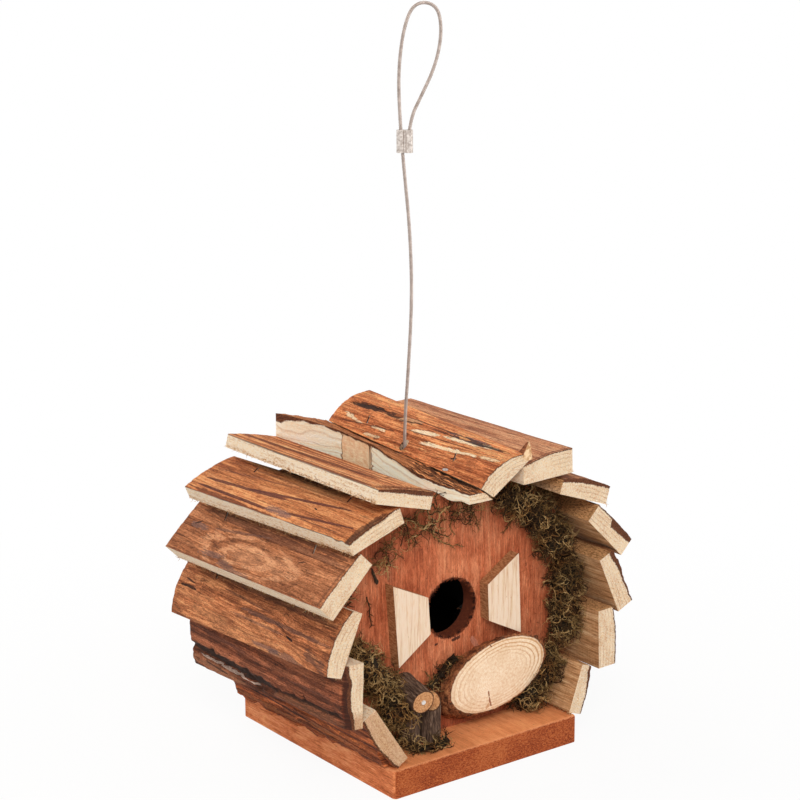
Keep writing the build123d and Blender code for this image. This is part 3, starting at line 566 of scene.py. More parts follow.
# side and lean follow the CAD slats. tones run from dark to light. figure is how many contour lines the
# grain shows, how strong and how far they wander, and knot a swirl of grain. marks are long spots on the
# bark: start and end as (mm up from the lower edge, mm along the house), half width, colour, strength and
# raggedness. relief is the bark's roughness in mm, grooves and plates are like marks but hold a depth or
# height, and bark is how thick the bark shows at the sawn ends, at shares of the width
barkDark = (46, 32, 26)
slabLooks = {
    "slat_left_1": {
        "side": -1, "lean": 123, "tones": [(82, 41, 22), (173, 89, 48), (226, 130, 76)],
        "figure": (6, 0.25, 5), "layers": 0.9, "relief": 0.8, "bark": [(0, 1.2), (0.5, 1), (1, 1.4)],
        "marks": [
            ((13.5, 22), (4, -48), 1.3, barkDark, 0.85, 5),
            ((1.2, 70), (1, -60), 1.6, (60, 36, 26), 0.75, 6),
            ((9, 62), (5, 5), 2.2, (186, 116, 78), 0.55, 6),
            ((18, -20), (8, -64), 1.5, (92, 52, 36), 0.6, 5),
            ((6.5, 45), (3, 20), 0.8, (52, 34, 26), 0.8, 4),
            ((25, 60), (24, -60), 3, (120, 68, 46), 0.5, 5),
        ],
        "grooves": [((13.5, 22), (4, -48), 1.6, 1.3), ((6.5, 45), (3, 20), 1, 0.8)],
        "plates": [((9, 62), (5, 5), 3.5, 0.8)],
    },
    "slat_left_2": {
        "side": -1, "lean": 87.2, "tones": [(88, 48, 32), (150, 84, 56), (186, 114, 80)],
        "figure": (6, 0.2, 5), "layers": 0.8, "relief": 0.55,
        "bark": [(0, 1.2), (0.25, 2.6), (0.75, 2.6), (1, 1.4)],
        "marks": [
            ((11.9, 73), (9.8, -2), 2.7, (58, 46, 42), 0.92, 5),
            ((9.8, -4), (12.4, -63), 1, (62, 42, 36), 0.85, 5),
            ((7.9, 64), (6.6, 14), 0.6, (246, 214, 196), 0.9, 9),
            ((4.6, 73), (2, 26), 3, (176, 120, 88), 0.6, 7),
            ((7, -6), (9.2, -60), 2.6, (142, 94, 66), 0.45, 10),
            ((3.4, -2), (5, -60), 0.8, (60, 40, 34), 0.8, 5),
            ((0.4, 24), (1.2, -58), 2.2, (140, 80, 54), 0.7, 6),
            ((0.4, -7), (2.1, -21), 1.6, (44, 30, 26), 0.85, 5),
            ((14.7, -31), (12.4, -31), 0.6, (28, 18, 14), 1, 1),
            ((24, 66), (22, 20), 1.2, (112, 68, 54), 0.6, 5),
            ((5.5, 60), (4.2, 40), 0.6, (70, 48, 40), 0.8, 4),
            ((31, 60), (31, -60), 1.6, (84, 52, 42), 0.7, 5),
            ((2, -65.5), (31, -65.5), 1.7, (98, 46, 30), 0.9, 4),
            ((19, -20), (20, -55), 0.9, (116, 72, 56), 0.55, 5),
        ],
        "grooves": [
            ((11, 73), (9, -2), 2.6, 1.9), ((9.8, -4), (12.4, -63), 1.1, 1.1),
            ((3.4, -2), (5, -60), 1, 0.9), ((0.4, -7), (2.1, -21), 1.6, 1),
            ((14.7, -31), (12.4, -31), 0.9, 0.9), ((0, -66), (33, -66), 2.2, 1.6),
        ],
        "plates": [
            ((22, 73), (22, -67), 10.5, 0.8), ((7, -6), (9.2, -58), 2.8, 0.7),
            ((4.2, 73), (2, 30), 2.6, 0.5),
        ],
    },
    "slat_left_3": {
        "side": -1, "lean": 67, "tones": [(116, 64, 38), (190, 116, 74), (224, 152, 102)],
        "figure": (9, 0.4, 8), "layers": 0.6, "relief": 0.35, "bark": [(0, 0.5), (1, 0.8)],
        "marks": [
            ((19, 12), (20.2, -63), 1.1, (92, 68, 62), 0.65, 5),
            ((14.8, 19), (15.7, -26), 0.7, (108, 76, 66), 0.6, 5),
            ((5, -20), (5.8, -43), 2, (108, 84, 76), 0.65, 10),
            ((12, -50), (9.5, -62), 2.6, (94, 66, 56), 0.65, 10),
            ((5.8, -3), (6.2, -26), 1.1, (104, 82, 80), 0.6, 5),
            ((15.9, -30), (14.8, -35), 0.6, (34, 22, 18), 1, 2),
            ((16.5, 70), (16.9, 56), 0.8, (50, 30, 22), 0.9, 5),
            ((20.5, 66), (19.6, 58), 0.5, (50, 30, 22), 0.9, 4),
            ((9, 52), (8.5, 22), 2.2, (194, 132, 88), 0.5, 6),
            ((1.4, 66), (1.4, -62), 1, (112, 66, 46), 0.6, 5),
            ((30, 60), (30, -60), 2, (90, 56, 42), 0.65, 5),
            ((24, 30), (23, -10), 0.6, (96, 62, 50), 0.6, 4),
        ],
        "grooves": [((16.5, 70), (16.9, 56), 0.9, 0.6), ((15.9, -30), (14.8, -35), 0.8, 0.6)],
        "plates": [],
    },
    "slat_left_4": {
        "side": -1, "lean": 45, "tones": [(114, 64, 38), (172, 108, 70), (204, 138, 96)],
        "figure": (9, 0.35, 6),
        "knot": {
            "centre": (13, 6), "wander": (14, 8), "squeeze": 0.24, "gap": 2.4, "reach": (14, 8),
            "tones": [(232, 168, 124), (98, 56, 36)],
        },
        "layers": 0.35, "relief": 0.22, "bark": [(0, 0.4), (1, 0.6)],
        "marks": [
            ((27.5, 62), (27.5, -60), 2.2, (98, 60, 46), 0.6, 6),
            ((17.7, 64), (17.7, 50), 1.6, (116, 92, 86), 0.6, 10),
            ((5.5, 45), (7, 24), 1.7, (110, 84, 78), 0.65, 10),
            ((5, 26), (0.4, -9), 2.1, (110, 82, 74), 0.65, 10),
            ((19.4, 46), (26.5, -1), 0.8, (106, 76, 66), 0.65, 5),
            ((20.4, -32), (22.3, -36), 0.35, (48, 30, 22), 0.9, 2),
            ((18.1, 63), (20.2, 59), 0.5, (40, 26, 22), 0.9, 3),
            ((1, 66), (1, -64), 0.9, (116, 68, 46), 0.6, 4),
            ((12, 16), (15, -34), 4, (210, 150, 110), 0.4, 6),
            ((31.5, -10), (31, -64), 1, (90, 54, 40), 0.6, 4),
            ((4, -64), (30, -65), 0.8, (110, 66, 46), 0.6, 5),
        ],
        "grooves": [], "plates": [],
    },
    "slat_left_5": {
        "side": -1, "lean": 18.4, "tones": [(148, 82, 48), (206, 130, 80), (230, 160, 106)],
        "figure": (5, 0.12, 3), "layers": 0.3, "relief": 0.25,
        "bark": [(0, 0.9), (0.3, 1.6), (0.8, 1.2), (1, 0.4)],
        "marks": [
            ((5, 66), (6.3, 2), 0.9, (98, 54, 46), 0.92, 3),
            ((10.5, 66), (15.8, -2), 1, (100, 56, 46), 0.92, 3),
            ((6.3, 3), (14.4, -60), 0.8, (98, 54, 44), 0.9, 3),
            ((13.7, 30), (24.5, -46), 0.9, (96, 52, 46), 0.92, 3),
            ((2.2, 71), (2.4, -58), 1.5, (112, 60, 40), 0.85, 4),
            ((19, 68), (26, 4), 0.7, (130, 80, 60), 0.6, 3),
            ((7.3, 2), (7.3, -15), 2.1, (124, 98, 94), 0.65, 8),
            ((7.2, -3), (7.5, -10), 1, (150, 110, 92), 0.7, 3),
            ((4.2, -57), (3.4, -66), 1.6, (158, 66, 40), 0.9, 3),
            ((4.4, -60), (3.8, -65), 0.5, (40, 22, 18), 0.9, 2),
            ((0.5, -65.5), (31, -65.5), 1.5, (110, 68, 46), 0.85, 5),
            ((8, -22), (9, -56), 0.4, (90, 52, 42), 0.7, 3),
            ((28, 60), (29, -50), 0.8, (140, 88, 62), 0.6, 3),
            ((17.5, -25), (17, -27), 0.4, (40, 24, 20), 1, 1),
        ],
        "grooves": [((1, -66), (31, -66), 1.6, 1), ((4.2, -57), (3.4, -66), 1.6, 0.9)], "plates": [],
    },
    "slat_left_6": {
        "side": -1, "lean": -15, "tones": [(140, 70, 38), (222, 142, 88), (250, 192, 134)],
        "figure": (5, 0.12, 3), "layers": 0.3, "relief": 0.2,
        "bark": [(0, 1.2), (0.3, 2), (0.7, 2.6), (1, 2)],
        "marks": [
            ((13.5, 72), (17.5, -42), 2.6, (104, 52, 30), 0.88, 3),
            ((20.5, 40), (23, -40), 0.8, (150, 92, 62), 0.6, 3),
            ((1.8, 70), (1.8, -62), 1.9, (110, 56, 32), 0.85, 3),
            ((6, 66), (7, -50), 0.7, (134, 76, 46), 0.7, 3),
            ((27, 60), (26, -50), 1.3, (122, 66, 40), 0.75, 3),
            ((3, -61), (33, -61), 3.2, (112, 64, 42), 0.75, 6),
            ((0.8, -25), (0.6, -33), 0.9, (60, 34, 26), 0.9, 3),
            ((10, -57), (32, -58), 1, (196, 130, 86), 0.7, 5),
            ((10, -65), (33, -65), 0.8, (70, 42, 32), 0.8, 4),
            ((31, -20), (32, -60), 1.6, (230, 176, 128), 0.5, 4),
        ],
        "grooves": [((3, -63), (33, -63), 1.4, 0.9), ((3, -59), (33, -58), 0.8, 0.6)], "plates": [],
    },
    "slat_ridge": {
        "side": -1, "lean": 33.5, "tones": [(146, 76, 42), (226, 138, 86), (250, 180, 120)],
        "figure": (6, 0.15, 3), "layers": 0.6, "relief": 0.3, "bark": [(0, 0.5), (0.6, 0.6), (1, 1)],
        "marks": [
            ((15.6, 64), (12.7, 46), 1.1, (242, 214, 176), 0.95, 10),
            ((12.9, 36), (12.5, 26), 0.9, (242, 214, 176), 0.9, 10),
            ((7.6, 38), (7.9, 26), 0.7, (238, 206, 166), 0.85, 10),
            ((18.8, 7), (20.8, -10), 1.5, (248, 222, 186), 1, 9),
            ((13.2, -8), (16, -46), 1.2, (248, 222, 186), 1, 9),
            ((22.2, -18), (25.6, -50), 1.8, (248, 222, 186), 1, 8),
            ((16.6, -50), (17.9, -62), 0.9, (240, 206, 164), 0.85, 10),
            ((23.8, 67), (25.4, 42), 1.7, (74, 44, 32), 0.9, 13),
            ((25.2, 40), (22.8, 14), 1.3, (82, 50, 36), 0.85, 13),
            ((23.6, 24), (25.4, 8), 1.5, (222, 168, 124), 0.8, 2),
            ((22.8, 24), (24.6, 6), 0.4, (66, 40, 30), 0.9, 2),
            ((24.4, -8), (25.8, -62), 0.8, (84, 52, 42), 0.8, 13),
            ((25.6, -16), (26, -42), 1.6, (96, 76, 78), 0.85, 13),
            ((0.7, 69), (4.7, -5), 0.4, (98, 52, 34), 0.8, 3),
            ((11.2, 64), (14.6, 18), 0.4, (90, 50, 34), 0.8, 3),
            ((17.5, 20), (19.5, -44), 0.4, (90, 50, 34), 0.8, 3),
            ((9.6, -34), (10.8, -37), 0.5, (40, 22, 16), 1, 1),
            # a small silver-grey spot, the painted glint of a staple
            ((3, -34), (3.4, -37), 0.6, (206, 204, 206), 0.9, 1),
            ((8.5, 60), (10.5, -20), 0.35, (140, 82, 54), 0.6, 3),
            ((24, 66), (26, 44), 0.8, (60, 40, 34), 0.8, 5),
            ((16, -20), (20, -60), 0.35, (120, 68, 46), 0.6, 3),
            ((26.5, 40), (26.5, -60), 0.5, (70, 42, 32), 0.7, 4),
        ],
        "grooves": [
            ((23.8, 67), (25.4, 42), 1.5, 0.9), ((25.2, 40), (22.8, 14), 1.1, 0.7),
            ((24.4, -8), (25.8, -62), 0.9, 0.7), ((13.2, -8), (16, -46), 1.2, 0.2),
            ((22.2, -18), (25.6, -50), 1.8, 0.2),
        ],
        "plates": [((23.6, 24), (25.4, 8), 2, 0.5)],
    },
    "slat_right_1": {
        "side": 1, "lean": 70.2, "tones": [(84, 52, 38), (140, 88, 60), (176, 118, 84)],
        "figure": (7, 0.3, 5), "layers": 0.8, "relief": 0.7,
        "bark": [(0, 0.6), (0.5, 1), (0.8, 2.2), (1, 1.2)],
        "marks": [
            ((6, 50), (10, -50), 1.4, barkDark, 0.8, 5), ((18, 60), (15, 0), 1.8, (72, 50, 42), 0.7, 6),
        ],
        "grooves": [((6, 50), (10, -50), 1.5, 1)], "plates": [((18, 60), (20, -60), 5, 0.6)],
    },
    "slat_right_2": {
        "side": 1, "lean": 91.9, "tones": [(88, 54, 40), (150, 94, 64), (184, 124, 88)],
        "figure": (10, 0.35, 8), "layers": 0.6, "relief": 0.5, "bark": [(0, 0.8), (1, 0.6)],
        "marks": [
            ((12, 60), (16, -20), 1, (70, 46, 38), 0.75, 5),
            ((24, 40), (20, -50), 1.6, (104, 86, 84), 0.6, 6),
        ],
        "grooves": [((12, 60), (16, -20), 1.2, 0.8)], "plates": [],
    },
    "slat_right_3": {
        "side": 1, "lean": 114, "tones": [(80, 50, 38), (146, 92, 64), (184, 126, 90)],
        "figure": (7, 0.25, 5), "layers": 0.8, "relief": 0.7,
        "bark": [(0, 0.8), (0.5, 1.4), (0.75, 2.8), (1, 3.4)],
        "marks": [
            ((8, 62), (12, -60), 1.6, barkDark, 0.8, 6),
            ((21, 40), (22, -30), 1, (220, 186, 150), 0.7, 5),
        ],
        "grooves": [((8, 62), (12, -60), 1.8, 1.2)], "plates": [((24, 66), (24, -66), 6, 0.7)],
    },
    "slat_right_4": {
        "side": 1, "lean": 135.5, "tones": [(96, 58, 42), (160, 102, 70), (196, 138, 98)],
        "figure": (12, 0.35, 9), "layers": 0.6, "relief": 0.4,
        "bark": [(0, 1.6), (0.12, 3.2), (0.56, 4.4), (0.62, 0.8), (1, 0.7)],
        "marks": [
            ((20, 56), (16, -10), 1.2, (86, 62, 56), 0.7, 5),
            ((8, 20), (6, -50), 1.8, (102, 84, 84), 0.6, 6),
        ],
        "grooves": [], "plates": [],
    },
    "slat_right_5": {
        "side": 1, "lean": 160.6, "tones": [(104, 62, 44), (172, 112, 76), (206, 148, 106)],
        "figure": (6, 0.2, 4), "layers": 0.6, "relief": 0.5, "bark": [(0, 1.4), (0.5, 2.6), (1, 1.8)],
        "marks": [
            ((14, 60), (18, -60), 1.5, (84, 54, 42), 0.8, 5),
            ((24, 50), (26, -20), 1, (230, 192, 150), 0.7, 5),
        ],
        "grooves": [((14, 60), (18, -60), 1.3, 0.8)], "plates": [],
    },
    "slat_top_right": {
        "side": 1, "lean": 181.8, "tones": [(152, 94, 66), (200, 136, 98), (220, 164, 124)],
        "figure": (6, 0.15, 4), "layers": 0.3, "relief": 0.25, "bark": [(0, 0.8), (0.4, 0.6), (1, 0.7)],
        "marks": [
            ((4, 66), (3, -62), 1.4, (150, 92, 66), 0.6, 4),
            ((16, 60), (18, -60), 0.8, (156, 100, 74), 0.6, 4),
            ((26, 50), (24, -64), 1.6, (140, 84, 60), 0.6, 5),
            ((2, -65.6), (32, -65.6), 0.8, (120, 72, 52), 0.8, 4),
        ],
        "grooves": [], "plates": [],
    },
}
slabShape = {
    "row": 1.1, "column": 1.3, "layer": 2.2, "endChip": 0.45, "seedStep": 400.0, "nudge": 0.3,
    "endFacing": 0.8, "barkFacing": 0.55, "soft": (0.6, 1.5), "paleFrom": 150, "paleRim": (0.35, 0.55),
}


def slabAxes(look):
    lean = math.radians(look["lean"])
    along = Vector((math.cos(lean), 0, math.sin(lean)))
    out = Vector((math.sin(lean), 0, -math.cos(lean))) * look["side"]
    return along, out


def markShare(across, along, mark, wobble):
    # the same long spot as Finish.spot, for the mesh
    start, end, half = mark[:3]
    run = Vector((end[0] - start[0], end[1] - start[1]))
    reach = run.length / 2 + half
    run.normalize()
    right = across - (start[0] + end[0]) / 2
    ahead = along - (start[1] + end[1]) / 2
    lengthwise = (right * run.x + ahead * run.y) / reach
    sideways = (right * run.y - ahead * run.x) / half + wobble
    return 1 - smoothShare(lengthwise**4 + sideways**2, *slabShape["soft"])


def barkHeight(look, seed, across, along):
    # relief of the bark in millimetres over its mean face
    wander = noise.noise(Vector((across * 0.04, along * 0.015, seed))) * look["figure"][2]
    place = across + wander
    ridges = rugged(place * 0.20, along * 0.022, seed + 3)
    lumps = rugged(place * 0.5, along * 0.14, seed + 9, 0.8, 3)
    height = look["relief"] * (ridges * 0.8 + lumps * 0.25)
    wobble = rugged(along * 0.12, across * 0.1, seed + 5, 0.8, 3) * 0.9
    for mark in look["grooves"]:
        height -= mark[3] * markShare(across, along, mark, wobble)
    for mark in look["plates"]:
        height += mark[3] * (markShare(across, along, mark, wobble * 0.4) - 0.4)
    return height


def rimmed(marks):
    # torn pale places have a thin dark rim round them, the torn bark's own edge with a painted shadow along
    # it
    wider, strength = slabShape["paleRim"]
    for mark in marks:
        if min(mark[3]) > slabShape["paleFrom"]:
            yield (*mark[:2], mark[2] + wider, barkDark, strength, mark[5])
        yield mark


def knotLines(f, knot, right, ahead, wave):
    # shares of the pale and the dark lines of grain that run round a knot
    ahead = ahead * knot["squeeze"]
    away = (right * right + ahead * ahead) ** 0.5
    ring = (away * (0.5 / knot["gap"]) + wave).maths("PINGPONG", 0.5)
    near = f.step(away, *knot["reach"])
    return f.step(ring, 0.26, 0.34) * near * 0.65, f.step(ring, 0.12, 0.05) * near * 0.6


def barkFinish(name, look, seed):
    f = Finish(name + "_bark")
    across, _, along = f.split(f.grain())
    along = along - seed * slabShape["seedStep"]
    lines, strength, swirl = look["figure"]
    drawn = f.stretch(f.point(across, along, seed), (0.055, 0.012, 3.7))
    field = f.noise(drawn, distortion=swirl * 0.12)
    bent = f.point(across + (field - 0.5) * swirl, along, seed)
    streaks = f.streaky(bent, (0.30, 0.009, 1.3), 3)
    fibre = f.streaky(bent, (1.5, 0.055, 1.9), 4, 0.65)
    flakes = f.streaky(bent, (0.55, 0.13, 5.1), 5, 0.65)
    grit = f.streaky(bent, (1.6, 0.8, 2.9), 3, 0.7)
    fine = f.streaky(bent, (3.0, 0.30, 4.3), 5, 0.75)
    layers = f.streaky(bent, (0.20, 0.045, 8.9), 6, 0.6)
    splits = f.streaky(bent, (0.40, 0.016, 7.7), 4, 0.55)
    darkest = look["tones"][0]
    tone = streaks * 0.46 + fibre * 0.26 + flakes * 0.18 + grit * 0.10
    colour = f.ramp(tone, (0.42, 0.50, 0.58), look["tones"])
    peeled = f.step(layers, 0.500, 0.508) * look["layers"]
    colour = f.blend(peeled * 0.5, colour, darkest)
    contour = f.step((field * lines + fibre * 0.15).maths("PINGPONG", 0.5), 0.30, 0.44) * strength
    colour = f.blend(contour * f.step(flakes, 0.34, 0.50), colour, darkest)
    if "knot" in look:
        knot = look["knot"]
        right = across - knot["centre"][0] + (field - 0.5) * knot["wander"][0]
        ahead = along - knot["centre"][1] + (flakes - 0.5) * knot["wander"][1]
        shares = knotLines(f, knot, right, ahead, flakes * 0.7 + fibre * 0.3)
        for share, ring in zip(shares, knot["tones"]):
            colour = f.blend(share * f.step(layers, 0.40, 0.52), colour, ring)
    colour = f.marked(colour, across, along, flakes * 0.6 + fibre * 0.4, rimmed(look["marks"]))
    # painted shade: the bark darkens where its relief sits low, in grooves and hollows
    low = f.step(f.number("relief"), -0.25, -1.2)
    colour = f.blend(low * 0.6, colour, barkDark)
    # painted shadow: a thin dark line along the edge of each peeled bark layer
    layerShadow = f.step(abs(layers - 0.497), 0.010, 0.003) * look["layers"]
    crack = f.step(abs(splits - 0.5), 0.010, 0.002) * f.step(flakes, 0.49, 0.53)
    colour = f.blend((layerShadow * 0.8 + crack * 0.7).maths("MINIMUM", 0.85), colour, barkDark)
    pits = f.step(flakes * 0.5 + grit * 0.5, 0.44, 0.38)
    colour = f.blend(pits * 0.5, colour, darkest)
    colour = f.textured(colour, fine * 0.5 + grit * 0.25 + fibre * 0.25, 0.6)
    height = fibre * 0.35 + flakes * 0.45 + grit * 0.25 + fine * 0.15
    height = height - contour * 0.10 - crack * 0.12 - peeled * 0.10
    return f.close(colour, 0.70 + flakes * 0.2, height, 0.9 + look["relief"])


def barkThickness(look, share):
    rows = look["bark"]
    for (first, thin), (second, thick) in zip(rows, rows[1:]):
        if share <= second:
            return thin + (thick - thin) * max(share - first, 0) / (second - first)
    return rows[-1][1]


def sortFaces(bm, out):
    # 0 for bark, 1 for the sawn ends, 2 for the sawn edges, 3 for the inner face
    for face in bm.faces:
        facing = face.normal.dot(out)
        if abs(face.normal.y) > slabShape["endFacing"]:
            face.material_index = 1
        elif facing > slabShape["barkFacing"]:
            face.material_index = 0
        elif facing < -slabShape["endFacing"]:
            face.material_index = 3
        else:
            face.material_index = 2


def makeSlab(node, look, seed):
    along, out = slabAxes(look)
    planes = [((0, 1, 0), slabShape["column"]), (along, slabShape["row"]), (out, slabShape["layer"])]
    bm = cutCopy(node, planes)
    grain = bm.verts.layers.float_vector.new("grain")
    relief = bm.verts.layers.float.new("relief")
    bark = bm.verts.layers.float.new("bark")
    reach = [v.co.dot(along) for v in bm.verts]
    low, width = min(reach), (max(reach) - min(reach)) / mm
    front = min(v.co.y for v in bm.verts)
    back = max(v.co.y for v in bm.verts)
    thick = max(v.co.dot(out) for v in bm.verts) - min(v.co.dot(out) for v in bm.verts)
    sortFaces(bm, out)
    tree = BVHTree.FromBMesh(bm)
    nudge = slabShape["nudge"] * mm
    for v in bm.verts:
        start = v.co.copy()
        start.y = min(max(start.y, front + nudge), back - nudge)
        start += along * (nudge if v.co.dot(along) < low + width * mm / 2 else -nudge) + out * nudge / 10
        _, _, _, gap = tree.ray_cast(start, out)
        v[grain] = ((v.co.dot(along) - low) / mm, 0 if gap is None else gap / mm, v.co.y / mm)
    for v in bm.verts:
        across, depth, place = v[grain]
        share = 1 - min(depth * mm / thick, 1)
        height = barkHeight(look, seed, across, place)
        rough = noise.noise(Vector((across * 0.8, depth * 0.8, place * 0.8 + seed)))
        v.co += out * height * mm * share
        fromEnd = min(v.co.y - front, back - v.co.y) / mm
        if fromEnd < 0.1:
            inwards = 1 if v.co.y - front < back - v.co.y else -1
            broken = smoothShare(noise.noise(Vector((across * 0.35, depth * 0.5, seed))), 0.1, 0.6)
            v.co.y += inwards * (abs(rough) * 0.12 + slabShape["endChip"] * broken * share) * mm
        v[relief] = height
        v[bark] = barkThickness(look, across / width)
        v[grain] = (across, depth, place + seed * slabShape["seedStep"])
    materials = [barkFinish(node, look, seed), endGrain, sawnEdge, sawnInside]
    finishSolid("rough_" + node, bm, [node], materials)


for seed, (node, look) in enumerate(slabLooks.items()):
    makeSlab(node, look, seed)


# Loose bark of the lowest left slab, which hangs over the base board's top edge

flapLook = {
    "front": -64.0, "back": 72.0, "step": 1.0, "rows": 12, "seed": 9, "thick": 1.5, "board": 15.0,
    "hang": (-0.6, 3.0), "hangAlong": (-62, 50), "ragged": 1.8, "leastHang": -1.5, "lowest": 9.0,
    "rough": 0.8, "innerFace": -60.4, "grainFrom": 14,
    "line": [(-66.9, 27.6), (-65.0, 24.0), (-63.2, 20.6), (-62.0, 17.4), (-61.3, 14.6), (-61.2, 10.0)],
    "marks": [
        ((9, 60), (6, -20), 0.9, (46, 30, 22), 0.8, 9), ((4, 20), (3, -60), 1.2, (60, 34, 22), 0.7, 9),
        ((1, 66), (2, 10), 1.4, (176, 110, 70), 0.5, 8), ((7, 0), (6, -50), 1.0, (186, 120, 80), 0.5, 8),
    ],
}


def flapPoint(share, low):
    # a point down the flap's outer line, which ends at the height low
    line = flapLook["line"]
    top = line[0][1]
    height = top + (low - top) * share
    for (x0, z0), (x1, z1) in zip(line, line[1:]):
        if height >= z1:
            return x0 + (x1 - x0) * (z0 - height) / (z0 - z1), height
    return line[-1][0], height


def flapOutline(y):
    # the flap's closed outline at one place along the house, as x, z, depth and relief
    least, most = flapLook["hang"]
    ragged = rugged(y * 0.09, 1.0, flapLook["seed"], 0.8) * flapLook["ragged"]
    hang = least + (most - least) * smoothShare(y, *flapLook["hangAlong"]) + ragged
    low = max(flapLook["board"] - max(hang, flapLook["leastHang"]), flapLook["lowest"])
    outline = []
    for row in range(flapLook["rows"] + 1):
        share = row / flapLook["rows"]
        x, z = flapPoint(share, low)
        rough = rugged(y * 0.05, z * 0.35, flapLook["seed"])
        lift = flapLook["thick"] * smoothShare(share, 0, 0.25) * (1 - 0.6 * smoothShare(share, 0.8, 1.0))
        lift += max(rough, -0.6) * flapLook["rough"] * smoothShare(share, 0, 0.3)
        outline.append((x - lift, z, 0, rough * flapLook["rough"]))
    for z in (outline[-1][1], outline[0][1] - 1):
        outline.append((flapLook["innerFace"], z, 1, -1.0))
    return outline


def barkFlap():
    # a grid rolled round the outline and closed at both ends
    steps = round((flapLook["back"] - flapLook["front"]) / flapLook["step"])
    places = [flapLook["front"] + i * flapLook["step"] for i in range(steps + 1)]
    outlines = [flapOutline(y) for y in places]
    around = len(outlines[0])
    bm = bmesh.new()
    bmesh.ops.create_grid(bm, x_segments=around, y_segments=steps, size=1)
    grain = bm.verts.layers.float_vector.new("grain")
    relief = bm.verts.layers.float.new("relief")
    for i, v in enumerate(bm.verts):
        row, column = divmod(i, around + 1)
        x, z, depth, height = outlines[row][column % around]
        v.co = Vector((x, places[row], z)) * mm
        v[grain] = (z - flapLook["grainFrom"], depth, places[row])
        v[relief] = height
    bmesh.ops.remove_doubles(bm, verts=bm.verts, dist=meshCare["weld"] * mm)
    bmesh.ops.holes_fill(bm, edges=bm.edges[:], sides=0)
    bmesh.ops.recalc_face_normals(bm, faces=bm.faces)
    look = dict(slabLooks["slat_left_1"], marks=flapLook["marks"])
    finishSolid("bark_flap", bm, [], [barkFinish("flap", look, 0)])


barkFlap()
print("bark slabs are rough")


# Valley slab: a tapered piece with a tall sawn side, a broken chunk in its middle, and rough bark in front

valleyLook = {
    "seed": 31, "mesh": 1.5, "relief": 0.7, "sideRelief": 0.15, "chunk": (4.0, 25.0), "foot": 12.0,
    "bark": 1.0, "thickAlong": (48, 72), "roughAlong": (-24, -8),
    "hang": 3.6, "hangUnder": (2.5, 6), "hangAcross": (1, 5), "hangAlong": (-62, -50),
    "rearRise": 2.6, "riseUnder": (0, 9), "riseAlong": (15, 60),
    "side": [(250, 224, 188), (255, 246, 222), (255, 252, 238)],
    "chunkTones": [(240, 190, 146), (255, 228, 192)],
    "top": [(96, 54, 30), (162, 98, 58), (200, 136, 88)], "front": (50, 28, 16),
}


def valleySideFinish():
    f = Finish("valley_sawn_side")
    _, depth, along = f.split(f.grain())
    side = f.point(depth, 1.0, along)
    streak = f.streaky(side, (0.8, 1.0, 0.03), 3)
    fuzz = f.streaky(side, (1.4, 2.0, 0.5), 3, 0.7)
    colour = f.ramp(streak * 0.6 + fuzz * 0.4, (0.36, 0.48, 0.60), valleyLook["side"])
    bend = f.streaky(side, (0.05, 6.0, 0.025))
    line = (depth * 0.42 + bend * 4 + fuzz * 0.3).maths("PINGPONG", 0.5) * 2
    colour = f.blend(f.step(line, 0.70, 0.98) * 0.35, colour, sawnLook["ring"])
    torn = f.streaky(side, (0.3, 3.0, 0.3))
    tornAlong = along + (torn - 0.5) * 5
    near, far = valleyLook["chunk"]
    chunk = f.step(tornAlong, near - 0.4, near + 0.4) * f.step(tornAlong, far + 0.4, far - 0.4)
    colour = f.blend(chunk, colour, f.ramp(fuzz * 0.5 + torn * 0.5, (0.4, 0.6), valleyLook["chunkTones"]))
    rimDark, rim = sawnLook["rim"]
    for place in valleyLook["chunk"]:
        seam = f.step(abs(tornAlong - place), 0.6, 0.15)
        colour = f.blend(seam * 0.8, colour, rim)
    wave = f.noise(f.point(1.0, 4.0, along * 0.06))
    bark = f.step(depth - f.number("bark") + (wave - 0.5) * 5 + (fuzz - 0.5) * 1.2, 0.3, -0.3)
    colour = f.blend(bark, colour, f.ramp(fuzz, (0.4, 0.6), (rimDark, rim)))
    # painted shadow: the foot of the side, tucked behind the slab below, turns dark bark brown
    foot = f.step(depth + (wave - 0.5) * 4, valleyLook["foot"], valleyLook["foot"] + 1.0)
    colour = f.blend(foot * 0.9, colour, rimDark)
    return f.close(colour, 0.85, fuzz + chunk * 0.3, 0.6)


def valleyTopFinish():
    f = Finish("valley_bark")
    across, _, along = f.split(f.grain())
    bend = f.streaky(f.point(across, 1.0, along), (0.1, 1.0, 0.04))
    bent = f.point(across + (bend - 0.5) * 8, 1.0, along)
    fibre = f.streaky(bent, (1.1, 2.0, 0.05), 4, 0.65)
    flakes = f.streaky(bent, (0.4, 3.0, 0.15), 4, 0.65)
    tone = fibre * 0.55 + flakes * 0.45
    colour = f.ramp(tone, (0.38, 0.50, 0.62), valleyLook["top"])
    rough = f.step(along + (flakes - 0.5) * 16, -14, -24)
    colour = f.blend(rough * f.step(fibre, 0.62, 0.46) * 0.8, colour, valleyLook["front"])
    colour = f.textured(colour, fibre, 0.7)
    return f.close(colour, 0.85, tone, 1.3)


def sortValleyFaces(bm):
    # 0 for the tall sawn side, 1 for the sawn ends, 2 for the bark, 3 for the rest
    for face in bm.faces:
        if abs(face.normal.y) > 0.8:
            face.material_index = 1
        elif face.normal.x < -0.8:
            face.material_index = 0
        elif face.normal.z > 0.1:
            face.material_index = 2
        else:
            face.material_index = 3


def cornerAt(corner, y):
    # the place on the corner line between the side and the bark
    before = max((c for c in corner if c.y <= y), key=lambda c: c.y, default=corner[0])
    after = min((c for c in corner if c.y >= y), key=lambda c: c.y, default=corner[-1])
    span = after.y - before.y
    return before.lerp(after, (y - before.y) / span if span > 0 else 0)


